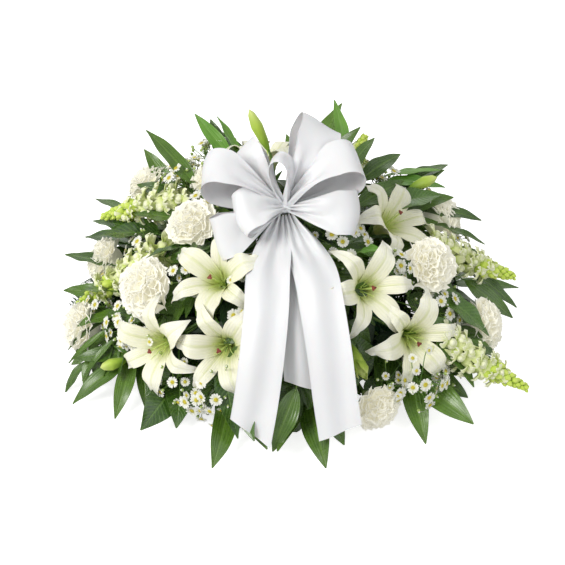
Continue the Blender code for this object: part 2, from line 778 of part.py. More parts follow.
def snapdragon(plan, material):
    """A snapdragon: open florets low on the spike, green buds to its tip."""
    rng = random.Random(plan.seed)
    low, tip = Vector(plan.low), Vector(plan.tip)
    run = (tip - low).normalized()
    body, _ = stem("snapdragon", low, run)
    pieces = [tube([low - run * 0.002, tip], [0.0026, 0.0014], THIN_SIDES), body]
    across, up = frame(run)
    total = plan.florets + plan.buds
    for i in range(total):
        t = i / total
        at = low.lerp(tip, 0.03 + 0.94 * t)
        a = i * GOLDEN_ANGLE + rng.uniform(-0.2, 0.2)
        out = across * math.cos(a) + up * math.sin(a)
        if i < plan.florets:
            size = 0.020 * (1.05 - 0.40 * i / plan.florets)
            pieces.append(floret(at - out * 0.0012, (out + run * 0.45).normalized(), run, size))
        else:
            share = (i - plan.florets) / plan.buds
            pieces.append(small_bud(at - out * 0.001, (out + run * (0.7 + share)).normalized(),
                                    0.015 - 0.006 * share, 0.0048 - 0.0018 * share))
    return fused(plan.name, pieces, material)


def daisy(at, axis, foot, radius):
    """A small daisy, a star of rays round a raised button, on a stalk from its foot."""
    across, up = frame(axis)
    rim, points, faces = 2 * DAISY_RAYS, [], []
    for k in range(rim):
        a = math.tau * k / rim
        far, rise = (0.50 * radius, 0.0002) if k % 2 else (radius, 0.0012)
        points.append(at + (across * math.cos(a) + up * math.sin(a)) * far + axis * rise)
    points.append(at + axis * 0.0028)
    faces += [(k, (k + 1) % rim, rim) for k in range(rim)]
    ends = ((at - axis * 0.0016, (across, up), 0.0009), (foot, frame((at - foot).normalized(), up), 0.0011))
    for centre, (side, rise), thick in ends:
        for k in range(3):
            a = math.tau * k / 3
            points.append(centre + (side * math.cos(a) + rise * math.sin(a)) * thick)
    first, step = rim + 1, rim // 3
    for k in range(3):
        near, after = first + k, first + (k + 1) % 3
        for i in range(step):
            faces.append((k * step + i, (k * step + i + 1) % rim, near if i < step // 2 else after))
        faces.append((near, after, (k * step + step // 2) % rim))
        faces += [(near, after, after + 3), (near, after + 3, near + 3)]
    faces.append((first + 3, first + 4, first + 5))
    return loose(points, faces)


def stalked_bud(at, axis, foot, length, thick):
    """A small round bud on a stalk, three-sided."""
    across, up = frame(axis)
    points, faces = [], []
    for centre, wide in ((foot, 0.0010), (at, 0.0009), (at + axis * length * 0.45, thick)):
        for k in range(3):
            a = math.tau * k / 3
            points.append(centre + (across * math.cos(a) + up * math.sin(a)) * wide)
    points.append(at + axis * length)
    for k in range(3):
        after = (k + 1) % 3
        for row in (0, 3):
            faces += [(row + k, row + after, row + after + 3), (row + k, row + after + 3, row + k + 3)]
        faces.append((6 + k, 6 + after, 9))
    faces.append((0, 1, 2))
    return loose(points, faces)


def aster_heads(plan):
    """Where each head of a spray sits, which way it faces and how wide it is."""
    rng = random.Random(plan.seed)
    axis = heading(*plan.faces)
    across, up = frame(axis)
    heads = []
    total = plan.heads + plan.buds
    for i in range(total):
        a = i * GOLDEN_ANGLE + rng.uniform(-0.3, 0.3)
        far = plan.width * 0.62 * math.sqrt((i + 0.5) / total)
        out = across * math.cos(a) + up * math.sin(a)
        at = Vector(plan.at) + out * far - axis * (far * far / plan.width * 0.55 + rng.uniform(0, 0.008))
        faces = (axis + out * (far / plan.width) * 0.9).normalized()
        heads.append((at, faces, rng.uniform(0.0085, 0.0105), i < plan.heads))
    return heads


def aster(plan, material):
    """A branched aster spray: one stem, a branch to each head and bud."""
    axis = heading(*plan.faces)
    fork = Vector(plan.at) - axis * (0.45 * plan.width + 0.028)
    run = ((fork - heart_of(fork)).normalized() + axis * 0.5).normalized()
    pieces = [stem("aster", fork + run * 0.019, run)[0]]
    for i, (at, faces, radius, opened) in enumerate(aster_heads(plan)):
        foot = fork + run * (0.026 * i / (plan.heads + plan.buds) - 0.009)
        pieces.append(daisy(at, faces, foot, radius) if opened
                      else stalked_bud(at - faces * 0.002, faces, foot, 0.008, 0.0032))
    return fused(plan.name, pieces, material)


def leaf_low(root, out, face, length, droop):
    """The lowest height that a leaf's rib reaches."""
    face = (face - out * face.dot(out)).normalized()
    bend = math.radians(droop) / length
    heights = []
    for t in (0.33, 0.66, 1.0):
        run = t * length
        along, across = math.sin(bend * run) / bend, (1 - math.cos(bend * run)) / bend
        heights.append((root + out * along - face * across).z)
    return min(heights)


def leafy_leaves(plan, path):
    """Where each leaf of a leafy stem springs, how it runs, and its size and droop. A leaf
    that would go under the surface that the spray lies on is bent up and clear of it."""
    rng = random.Random(plan.seed)
    leaves = []
    whole = sum((b - a).length for a, b in zip(path, path[1:]))
    first = (STEM_DEPTH + STEM_FREE + 0.005) / whole
    for i in range(plan.leaves):
        share = i / max(1, plan.leaves - 1)
        at, run = along_path(path, first + (0.995 - first) * share)
        away = (at - Vector((at.x * 0.6, 0, 0.0))).normalized()
        up = (away - run * away.dot(run)).normalized()
        side = run.cross(up) * (1 if i % 2 else -1)
        last = i == plan.leaves - 1
        splay = math.radians(rng.uniform(-8, 8) if last else rng.uniform(34, 62) - 14 * share)
        lift = math.radians(rng.uniform(-10, 16))
        out = run * math.cos(splay) + side * math.sin(splay)
        out = (out * math.cos(lift) + up * math.sin(lift)).normalized()
        face = (up + side * rng.uniform(-0.35, 0.15)).normalized()
        length = plan.length * rng.uniform(0.86, 1.08)
        half_width, droop = plan.half_width * rng.uniform(0.9, 1.1), rng.uniform(12, 45)
        while leaf_low(at, out, face, length, droop) < CLEARANCE + 0.15 * half_width and out.z < 0.6:
            out, droop = (out + Vector((0, 0, 0.05))).normalized(), max(4.0, droop - 3.0)
        leaves.append((at, out, face, length, half_width, droop))
    return leaves


def side_frond(plan, path):
    """A frond on a side shoot of a leafy stem, which fills the spray between the flowers."""
    rng = random.Random(plan.seed)
    bearing, rise = plan.runs
    along = heading(bearing + rng.uniform(-25, 25), rise + rng.uniform(-22, 22))
    side, up = frame(along)
    roll = math.radians(rng.uniform(-35, 35))
    face = up * math.cos(roll) + side * math.sin(roll)
    droop, half_width = rng.uniform(15, 70), plan.length * rng.uniform(0.30, 0.38)
    run = (path[2] - path[1]).normalized()
    foot = path[1] + run * plan.up
    return fern_frond(Vector(plan.at), along, face, plan.length, half_width, droop, SIDE_PAIRS, foot)


def leafy_stem(plan, material):
    """A leafy stem, or a bunch of fern fronds on one stalk, with its side fronds."""
    body, path = stem("leafy", Vector(plan.tip), heading(*plan.runs))
    pieces = [body, *[side_frond(frond, path) for frond in SIDE_FRONDS if frond.stem == plan.name]]
    for at, out, face, length, half_width, droop in leafy_leaves(plan, path):
        root = at - out * 0.0008
        if plan.kind == "fern":
            pieces.append(fern_frond(root, out, face, length, half_width, droop))
        else:
            pieces.append(leaf(plan.kind, root, out, face, length, half_width, droop))
    return fused(plan.name, pieces, material)


@dataclass
class Loop:
    """A bow loop: its angle round the knot, its lift off the bow's plane, its size."""

    angle: float
    lift: float
    length: float
    fullness: float
    tilt: float
    width: float = RIBBON_WIDTH


LOOPS = [
    Loop(66, 14, 0.135, 0.024, 20),
    Loop(30, 24, 0.132, 0.026, -30),
    Loop(-8, 16, 0.108, 0.022, 20),
    Loop(158, 20, 0.132, 0.026, 25),
    Loop(128, -4, 0.112, 0.020, -10),
    Loop(198, 34, 0.080, 0.018, 10),
    Loop(207, 6, 0.112, 0.020, -20),
    Loop(96, 44, 0.085, 0.014, 70, 0.040),
]

TAILS = {
    "bow_tail_left": [(-0.0026, -0.0393, 0.2604), (-0.012, -0.080, 0.240), (-0.0205, -0.128, 0.226),
                      (-0.023, -0.178, 0.198), (-0.029, -0.222, 0.152), (-0.037, -0.256, 0.100),
                      (-0.046, -0.284, 0.056)],
    "bow_tail_middle": [(0.003, -0.0352, 0.2580), (0.012, -0.075, 0.226), (0.016, -0.122, 0.212),
                        (0.022, -0.168, 0.184), (0.030, -0.205, 0.140), (0.036, -0.232, 0.096)],
    "bow_tail_right": [(0.0090, -0.0380, 0.2606), (0.028, -0.080, 0.240), (0.047, -0.128, 0.226),
                       (0.057, -0.178, 0.198), (0.067, -0.222, 0.152), (0.075, -0.256, 0.100),
                       (0.083, -0.282, 0.056)],
}


def band(centres, acrosses, normals, half_widths, slant=0.0):
    """A flat ribbon along a line, its last end cut on the slant."""
    points, faces = [], []
    count = len(centres)
    for i, (c, a, n, w) in enumerate(zip(centres, acrosses, normals, half_widths)):
        skew = (centres[-1] - centres[-2]).normalized() * slant if i == count - 1 else Vector()
        lift = n * (RIBBON_THICK / 2)
        points += [c - a * w + lift - skew, c + a * w + lift + skew,
                   c + a * w - lift + skew, c - a * w - lift - skew]
    for i in range(count - 1):
        for k in range(4):
            a, b = 4 * i + k, 4 * i + (k + 1) % 4
            faces += [(a, b, b + 4), (a, b + 4, a + 4)]
    faces += [(0, 1, 2, 3), tuple(4 * (count - 1) + k for k in range(4))]
    return loose(points, faces)


def bow_axes():
    """The bow's own right, up and facing directions."""
    facing = heading(0, BOW_RISE)
    right = Vector((1, 0, 0))
    return right, facing.cross(right), facing


def loop_band(loop, count=7):
    """One loop of the bow, from the knot out and back, pinched at the knot."""
    right, up, facing = bow_axes()
    a, lift = math.radians(loop.angle), math.radians(loop.lift)
    out = (right * math.cos(a) + up * math.sin(a)) * math.cos(lift) + facing * math.sin(lift)
    side = facing.cross(out).normalized()
    tilt = Matrix.Rotation(math.radians(loop.tilt), 3, out)
    side = tilt @ side
    rise = out.cross(side)
    centres, acrosses, normals, halves = [], [], [], []
    for i in range(count):
        s = 0.02 + 0.96 * i / (count - 1)
        run = loop.length * math.sin(math.pi * s)
        centres.append(KNOT + out * run + rise * loop.fullness * math.sin(2 * math.pi * s))
        ahead = out * math.cos(math.pi * s) * loop.length * math.pi
        ahead += rise * loop.fullness * math.cos(2 * math.pi * s) * 2 * math.pi
        acrosses.append(side)
        normals.append(side.cross(ahead.normalized()))
        open_share = min(1.0, math.sin(math.pi * s) / 0.80)
        halves.append(PINCH + (loop.width / 2 - PINCH) * open_share**1.2)
    return band(centres, acrosses, normals, halves)


def bow_loops(material):
    """The bow's loops, gathered at the knot."""
    right, up, facing = bow_axes()
    placed = Matrix((right, up, facing)).transposed().to_4x4()
    placed.translation = KNOT
    knot = moved(lathe(KNOT_PROFILE, 7), placed)
    return fused("bow_loops", [knot, *[loop_band(loop) for loop in LOOPS]], material)


def bow_tail(name, material):
    """One tail: pinched at the knot, then the ribbon's full width, cut on the slant."""
    line = [Vector(p) for p in TAILS[name]]
    count = len(line)
    centres, acrosses, normals, halves = [], [], [], []
    for i, c in enumerate(line):
        run = (line[min(i + 1, count - 1)] - line[max(i - 1, 0)]).normalized()
        across = (Vector((1, 0, 0)) - run * run.x).normalized()
        centres.append(c)
        acrosses.append(across)
        normals.append(across.cross(run))
        halves.append((0.0052, 0.017, RIBBON_WIDTH / 2)[min(i, 2)])
    return fused(name, [band(centres, acrosses, normals, halves, TAIL_SLANTS[name])], material)


def bow_pick(material):
    """The stick that carries the bow: a cup under the knot, and a stick down into the foam."""
    facing = bow_axes()[2]
    seat = KNOT + facing * (KNOT_PROFILE[0][1] - FIT)
    foot = Vector((0.0, 0.004, FOAM_TOP))
    run = (seat - foot).normalized()
    start, free = foot - run * PICK_DEPTH, foot + run * PICK_FREE
    note_hole(start - run * HOLE_GAP, free, PICK_RADIUS, STEM_SIDES)
    stick = tube([start, free, seat - facing * PICK_CUP], [PICK_RADIUS, PICK_RADIUS, 0.0018], STEM_SIDES)
    cup = tube([seat - facing * 1.5 * PICK_CUP, seat], [0.0020, PICK_CUP], 6)
    return fused("bow_pick", [stick, cup], material)


def rounded_box(name, length, depth, low, high, corner, top_chamfer=0.0):
    """A block with rounded upright corners, and its top edge cut at an angle if asked."""
    outline = []
    for sx, sy, start in ((1, 1, 0), (-1, 1, 90), (-1, -1, 180), (1, -1, 270)):
        for step in (0, 45, 90):
            a = math.radians(start + step)
            outline.append((sx * (length / 2 - corner) + corner * math.cos(a),
                            sy * (depth / 2 - corner) + corner * math.sin(a)))
    rows = [(low, 0.0), (high, 0.0)]
    if top_chamfer:
        rows = [(low, 0.0), (high - top_chamfer, 0.0), (high, top_chamfer)]
    points = []
    for height, inset in rows:
        for x, y in outline:
            points.append((x * (1 - 2 * inset / length), y * (1 - 2 * inset / depth), height))
    n = len(outline)
    faces = [tuple(range(n)), tuple((len(rows) - 1) * n + k for k in range(n))]
    for first in range(0, (len(rows) - 1) * n, n):
        for k in range(n):
            after = (k + 1) % n
            faces.append((first + k, first + after, first + n + after, first + n + k))
    return mesh_object(name, loose(points, faces))


def tray(material):
    """The shallow tray, open at the top, with a flat underside."""
    made = rounded_box("tray", TRAY_LENGTH, TRAY_DEPTH, 0.0, TRAY_HEIGHT, TRAY_CORNER)
    inside = rounded_box("tray_inside", TRAY_LENGTH - 2 * TRAY_WALL, TRAY_DEPTH - 2 * TRAY_WALL,
                         TRAY_FLOOR, TRAY_HEIGHT + 0.02, TRAY_CORNER - TRAY_WALL)
    boolean(made, [inside], "DIFFERENCE", "EXACT")
    made.data.materials.append(material)
    return made


def foam(material):
    """The foam block, with a plain hole for every stem and for the bow's stick."""
    made = rounded_box("foam", FOAM_LENGTH, FOAM_DEPTH, FOAM_BOTTOM, FOAM_TOP,
                       TRAY_CORNER - TRAY_WALL - FIT, FOAM_CHAMFER)
    cutters = [mesh_object(f"hole_{i}", tube([bottom, top], [radius, radius], sides))
               for i, (bottom, top, radius, sides) in enumerate(HOLES)]
    boolean(made, cutters, "DIFFERENCE")
    made.data.materials.append(material)
    return made


def main():
    """Clears the scene and builds the spray."""
    for old in list(bpy.data.objects):
        bpy.data.objects.remove(old)
    HOLES.clear()
    white = finish("lily_white", (0.86, 0.84, 0.68), 0.45)
    cream = finish("carnation_cream", (0.88, 0.86, 0.72), 0.60)
    lime = finish("snapdragon_lime", (0.60, 0.68, 0.20), 0.55)
    aster_white = finish("aster_white", (0.85, 0.86, 0.74), 0.60)
    stem_green = finish("stem_green", (0.42, 0.55, 0.12), 0.50)
    palm = finish("palm_green", (0.05, 0.17, 0.03), 0.35)
    salal = finish("salal_green", (0.06, 0.16, 0.04), 0.35)
    fern = finish("fern_green", (0.02, 0.07, 0.02), 0.60)
    satin = finish("satin_white", (0.90, 0.90, 0.92), 0.35)
    wood = finish("pick_wood", (0.45, 0.32, 0.18), 0.70)
    plastic = finish("tray_green", (0.02, 0.09, 0.03), 0.45)
    foam_green = finish("foam_green", (0.05, 0.22, 0.09), 0.95)

    blooms = {bloom.name: bloom for bloom in LILIES}
    bow_pick(wood)
    bow_loops(satin)
    for name in TAILS:
        bow_tail(name, satin)
    for plan in LILY_STEMS:
        lily_stem(plan, blooms, stem_green)
    for bloom in LILIES:
        lily_bloom(bloom, white)
    for bloom in CARNATIONS:
        carnation(bloom, cream)
    for plan in SPIKES:
        snapdragon(plan, lime)
    for plan in SPRAYS:
        aster(plan, aster_white)
    greens = {"palm": palm, "salal": salal, "fern": fern}
    for plan in GREENS:
        leafy_stem(plan, greens[plan.kind])
    foam(foam_green)
    tray(plastic)


if __name__ == "__main__":
    main()
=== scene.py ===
"""Looks for a casket spray: white lilies, carnations, snapdragons and small asters over
mixed greens, with a white satin bow and tails. Metres, +Z up, the front faces -Y.

Each flower, leafy stem and ribbon that has a solid stands where the solid stands, with finer
petals, veins, pleats and finishes. The filler, the single leaves and the small asters have none.
"""

import json
import logging
import math
import random
from dataclasses import dataclass, field
from enum import Enum
from typing import Any, Sequence

import bpy
import numpy as np
from mathutils import Matrix, Vector

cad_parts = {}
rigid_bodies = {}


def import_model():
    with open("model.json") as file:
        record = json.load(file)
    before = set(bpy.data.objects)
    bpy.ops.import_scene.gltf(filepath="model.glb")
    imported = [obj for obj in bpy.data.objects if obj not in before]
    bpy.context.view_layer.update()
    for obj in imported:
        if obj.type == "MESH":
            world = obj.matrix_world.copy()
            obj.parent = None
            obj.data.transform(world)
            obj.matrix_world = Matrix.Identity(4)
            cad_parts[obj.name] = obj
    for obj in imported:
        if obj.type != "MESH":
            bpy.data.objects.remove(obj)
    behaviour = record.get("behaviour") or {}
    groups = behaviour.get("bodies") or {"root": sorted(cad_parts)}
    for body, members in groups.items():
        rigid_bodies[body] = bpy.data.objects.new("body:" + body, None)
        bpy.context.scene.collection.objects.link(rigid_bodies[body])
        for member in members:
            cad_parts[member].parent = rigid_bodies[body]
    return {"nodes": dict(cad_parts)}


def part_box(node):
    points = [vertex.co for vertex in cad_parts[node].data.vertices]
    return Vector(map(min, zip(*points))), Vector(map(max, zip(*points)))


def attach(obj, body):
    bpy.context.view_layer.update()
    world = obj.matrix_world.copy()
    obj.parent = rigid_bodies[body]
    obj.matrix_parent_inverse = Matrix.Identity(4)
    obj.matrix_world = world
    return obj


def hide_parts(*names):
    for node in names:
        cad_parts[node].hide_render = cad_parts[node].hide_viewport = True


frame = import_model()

LOG = logging.getLogger("casket_spray")
Colour = tuple[float, float, float]
Place = tuple[float, float, float]
Aim = tuple[float, float]
Lines = Sequence[tuple[Sequence[Vector], Sequence[float]]]
Socket = bpy.types.NodeSocket
Groups = dict[str, bpy.types.NodeTree]
GOLDEN_ANGLE = math.radians(137.5)
SHARP_ANGLE = math.radians(62)


# Directions and lines


def heading(bearing: float, rise: float) -> Vector:
    """The unit vector of a bearing and a rise, in degrees: 0 is the front, 90 the right-hand end."""
    b, r = math.radians(bearing), math.radians(rise)
    return Vector((math.sin(b) * math.cos(r), -math.cos(b) * math.cos(r), math.sin(r)))


def axes(along: Vector, hint: Vector = Vector((0, 0, 1))) -> tuple[Vector, Vector]:
    """Two unit vectors at right angles to a direction.

    Args:
        along: the direction.
        hint: where the second vector leans to.

    Returns:
        The sideways and the upward vector.
    """
    if abs(along.dot(hint)) > 0.98:
        hint = Vector((0, 1, 0))
    across = along.cross(hint).normalized()
    return across, across.cross(along).normalized()


def placed(x: Vector, y: Vector, z: Vector, at: Vector) -> Matrix:
    """The matrix whose columns are three axes and a place."""
    made = Matrix((x, y, z)).transposed().to_4x4()
    made.translation = at
    return made


def squared(along: Vector, face: Vector) -> tuple[Vector, Vector]:
    """The sideways direction of a leaf, and its face set square to the way that it runs."""
    across = along.cross(face).normalized()
    return across, across.cross(along).normalized()


def round_about(first: Vector, second: Vector, angle: float) -> Vector:
    """The direction at an angle from the first towards the second, in radians."""
    return first * math.cos(angle) + second * math.sin(angle)


def bent(base: Vector, along: Vector, face: Vector, bend: float, run: float) -> Vector:
    """The point so far along a rib that bends away from its face."""
    return base + along * (math.sin(bend * run) / bend) - face * ((1 - math.cos(bend * run)) / bend)


def spun(rng: random.Random, size: float) -> Matrix:
    """A drawn turn about Z, at a size."""
    return Matrix.Rotation(rng.uniform(0, math.tau), 4, "Z") @ Matrix.Scale(size, 4)


def linked(name: str, data: Any) -> bpy.types.Object:
    """A new object in the scene."""
    made = bpy.data.objects.new(name, data)
    bpy.context.scene.collection.objects.link(made)
    return made


def bezier(a: Vector, b: Vector, c: Vector, d: Vector, count: int) -> list[Vector]:
    """Points along a cubic curve, both ends among them.

    Args:
        a: first end.
        b: first handle.
        c: second handle.
        d: second end.
        count: number of points.

    Returns:
        The points.
    """
    points = []
    for i in range(count):
        t = i / (count - 1)
        s = 1 - t
        points.append(a * s**3 + b * (3 * s * s * t) + c * (3 * s * t * t) + d * t**3)
    return points


def smooth_line(points: Sequence[Vector], steps: int) -> list[Vector]:
    """A rounded line through points.

    Args:
        points: what the line passes through.
        steps: points for each stretch.

    Returns:
        The finer line.
    """
    line = [Vector(p) for p in points]
    line = [2 * line[0] - line[1], *line, 2 * line[-1] - line[-2]]
    made = []
    for a, b, c, d in zip(line, line[1:], line[2:], line[3:]):
        for i in range(steps):
            t = i / steps
            made.append(0.5 * ((2 * b) + (c - a) * t + (2 * a - 5 * b + 4 * c - d) * t**2
                               + (3 * b - a - 3 * c + d) * t**3))
    return [*made, line[-2]]


def along_line(line: Sequence[Vector], share: float) -> tuple[Vector, Vector]:
    """A point and the direction at a share of a line's length.

    Args:
        line: the line's points.
        share: from 0 at its start to 1 at its end.

    Returns:
        The point and the direction.
    """
    lengths = [(b - a).length for a, b in zip(line, line[1:])]
    left = share * sum(lengths)
    for (a, b), step in zip(zip(line, line[1:]), lengths):
        if left <= step:
            break
        left -= step
    run = (b - a).normalized()
    return a + run * min(left, step), run


def measured(centre: np.ndarray) -> float:
    """The length of a line of points."""
    return float(np.linalg.norm(np.diff(centre, axis=0), axis=1).sum())


def ramp(x: np.ndarray | float, low: float, high: float) -> Any:
    """A smooth step from 0 at low to 1 at high."""
    t = np.clip((x - low) / (high - low), 0.0, 1.0)
    return t * t * (3 - 2 * t)


# Meshes


@dataclass
class Patch:
    """Mesh data with a UV, a tone and an underside mark at each point.

    Args:
        points: places, n by 3.
        faces: corner numbers, one list for each face.
        uv: across and along the surface, n by 2.
        under: 1 on the underside of a leaf or petal, otherwise 0.
        tone: a shade from 0 to 1 that differs from leaf to leaf.
    """

    points: np.ndarray
    faces: list[tuple[int, ...]]
    uv: np.ndarray
    under: np.ndarray
    tone: np.ndarray

    def moved(self, matrix: Matrix) -> "Patch":
        """The patch under a matrix."""
        m = np.array(matrix)
        return Patch(self.points @ m[:3, :3].T + m[:3, 3], self.faces, self.uv, self.under, self.tone)

    def settled(self, height: float = 0.014) -> "Patch":
        """The patch with what would sink through the floor laid along it instead."""
        z = self.points[:, 2]
        low = np.minimum(z, height)
        self.points[:, 2] = np.where(z < height, height * np.exp((low - height) / height * 0.6), z)
        return self

    def toned(self, tone: float) -> "Patch":
        """The patch in one tone."""
        return Patch(self.points, self.faces, self.uv, self.under, np.full(len(self.points), tone))

    def mesh(self, name: str) -> bpy.types.Mesh:
        """The patch as a mesh with its UV map and attributes."""
        mesh = bpy.data.meshes.new(name)
        mesh.from_pydata(self.points.tolist(), [], self.faces)
        corners = np.empty(len(mesh.loops), np.int32)
        mesh.loops.foreach_get("vertex_index", corners)
        mesh.uv_layers.new(name="UVMap").data.foreach_set("uv", self.uv[corners].ravel())
        for label, values in (("under", self.under), ("tone", self.tone)):
            mesh.attributes.new(label, "FLOAT", "POINT").data.foreach_set("value", values.astype(np.float32))
        mesh.shade_smooth()
        mesh.set_sharp_from_angle(angle=SHARP_ANGLE)
        return mesh


def joined(patches: Sequence[Patch]) -> Patch:
    """Several patches as one."""
    faces: list[tuple[int, ...]] = []
    first = 0
    for patch in patches:
        faces += [tuple(first + i for i in face) for face in patch.faces]
        first += len(patch.points)
    return Patch(np.vstack([p.points for p in patches]), faces, np.vstack([p.uv for p in patches]),
                 np.concatenate([p.under for p in patches]), np.concatenate([p.tone for p in patches]))


def slab(grid: np.ndarray, thick: float | np.ndarray, tone: float = 0.5) -> Patch:
    """A thin closed sheet over a grid of points.

    Args:
        grid: rows along and columns across, by 3.
        thick: the thickness, or one for each point.
        tone: its shade.

    Returns:
        The sheet, with its upper face on the side of across x along.
    """
    rows, columns = grid.shape[:2]
    normal = np.cross(np.gradient(grid, axis=1), np.gradient(grid, axis=0))
    normal /= np.maximum(np.linalg.norm(normal, axis=2, keepdims=True), 1e-12)
    half = normal * (np.asarray(thick, float).reshape(-1, 1, 1) if np.ndim(thick) == 1 else thick) / 2
    n = rows * columns
    index = np.arange(n).reshape(rows, columns)
    a, b, c, d = index[:-1, :-1], index[:-1, 1:], index[1:, 1:], index[1:, :-1]
    top = np.stack([a, b, c, d], -1).reshape(-1, 4)
    ring = np.concatenate([index[0], index[1:, -1], index[-1, -2::-1], index[-2:0:-1, 0]])
    after = np.roll(ring, -1)
    walls = np.stack([after, ring, ring + n, after + n], -1)
    faces = np.vstack([top, top[:, ::-1] + n, walls])
    u, v = np.meshgrid(np.linspace(0, 1, columns), np.linspace(0, 1, rows))
    uv = np.stack([u, v], -1).reshape(-1, 2)
    under = np.concatenate([np.zeros(n), np.ones(n)])
    return Patch(np.vstack([(grid + half).reshape(-1, 3), (grid - half).reshape(-1, 3)]),
                 [tuple(f) for f in faces.tolist()], np.vstack([uv, uv]), under, np.full(2 * n, tone))


def tube(path: Sequence[Vector], radii: Sequence[float], sides: int, flute: float = 0.0,
         lobes: int = 3, tone: float = 0.5) -> Patch:
    """A closed round tube along a path.

    Args:
        path: the points of its middle line.
        radii: its radius at each point.
        sides: points round it.
        flute: how deep its lengthwise lobes are, as a share of the radius.
        lobes: how many lobes it has.
        tone: its shade.

    Returns:
        The tube.
    """
    along = (Vector(path[1]) - Vector(path[0])).normalized()
    across, _ = axes(along)
    points, uv = [], []
    for i, centre in enumerate(path):
        run = (Vector(path[min(i + 1, len(path) - 1)]) - Vector(path[max(i - 1, 0)])).normalized()
        across = (across - run * across.dot(run)).normalized()
        up = run.cross(across)
        for k in range(sides):
            a = math.tau * k / sides
            r = max(radii[i], 1e-5) * (1 + flute * math.cos(lobes * a))
            points.append(Vector(centre) + round_about(across, up, a) * r)
            uv.append((k / sides, i / (len(path) - 1)))
    faces: list[tuple[int, ...]] = []
    for i in range(len(path) - 1):
        for k in range(sides):
            a, b = i * sides + k, i * sides + (k + 1) % sides
            faces.append((a, b, b + sides, a + sides))
    last = (len(path) - 1) * sides
    faces += [tuple(range(sides))[::-1], tuple(last + k for k in range(sides))]
    count = len(points)
    return Patch(np.array([tuple(p) for p in points]), faces, np.array(uv), np.zeros(count),
                 np.full(count, tone))


def patch_of(mesh: bpy.types.Mesh) -> Patch:
    """The data of a mesh that a node tree made.

    Args:
        mesh: the evaluated mesh.

    Returns:
        Its points, faces, UV, tone and underside marks.
    """
    count = len(mesh.vertices)
    points = np.empty(count * 3)
    mesh.vertices.foreach_get("co", points)
    corners = np.empty(len(mesh.loops), np.int32)
    mesh.loops.foreach_get("vertex_index", corners)
    sizes = np.empty(len(mesh.polygons), np.int32)
    mesh.polygons.foreach_get("loop_total", sizes)
    faces = [tuple(f) for f in np.split(corners, np.cumsum(sizes)[:-1])]
    faces = [tuple(int(i) for i in f) for f in faces]
    uv = np.zeros((count, 2))
    if "UVMap" in mesh.uv_layers:
        flat = np.empty(len(mesh.loops) * 2)
        mesh.uv_layers["UVMap"].data.foreach_get("uv", flat)
        uv[corners] = flat.reshape(-1, 2)
    values = {}
    for label in ("under", "tone", "around", "along"):
        values[label] = np.zeros(count)
        if label in mesh.attributes:
            mesh.attributes[label].data.foreach_get("value", values[label])
    if "around" in mesh.attributes:
        uv = np.stack([values["around"], values["along"]], -1)
    return Patch(points.reshape(-1, 3), faces, uv, values["under"], values["tone"])


class Piece:
    """One visible piece: patches with their finishes, made into one object on the root body.

    Args:
        growth: grows its stems, and has the finishes.
        name: the piece's name.
        slot: a material slot of the record; not used.
        nodes: the solids that it stands for.
    """

    def __init__(self, growth: "Growth", name: str, slot: str, nodes: Sequence[str] = ()) -> None:
        """Starts the piece without a patch."""
        self.growth, self.name, self.slot, self.nodes = growth, name, slot, nodes
        self.parts: list[tuple[Patch, str]] = []

    def add(self, patch: Patch, finish: str) -> None:
        """Adds a patch in a finish."""
        self.parts.append((patch, finish))

    def stems(self, lines: Lines, finish: str = "stem_green", sides: int = 6, tone: float = 0.5) -> None:
        """Adds round stems, each from its points and its radii."""
        self.add(self.growth.stems(lines, finish, sides, tone), finish)

    def build(self) -> bpy.types.Object:
        """Makes the object, puts it on the body and hides the solids that it stands for.

        Returns:
            The object.
        """
        whole = joined([patch for patch, _ in self.parts])
        mesh = whole.mesh(self.name)
        finishes = list(dict.fromkeys(finish for _, finish in self.parts))
        for finish in finishes:
            mesh.materials.append(self.growth.finishes[finish])
        numbers = np.concatenate([np.full(len(p.faces), finishes.index(f)) for p, f in self.parts])
        mesh.polygons.foreach_set("material_index", numbers.astype(np.int32))
        made = linked(self.name, mesh)
        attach(made, "root")
        if self.nodes:
            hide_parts(*self.nodes)
        LOG.info("%s: %d faces", self.name, len(whole.faces))
        return made


# Node trees


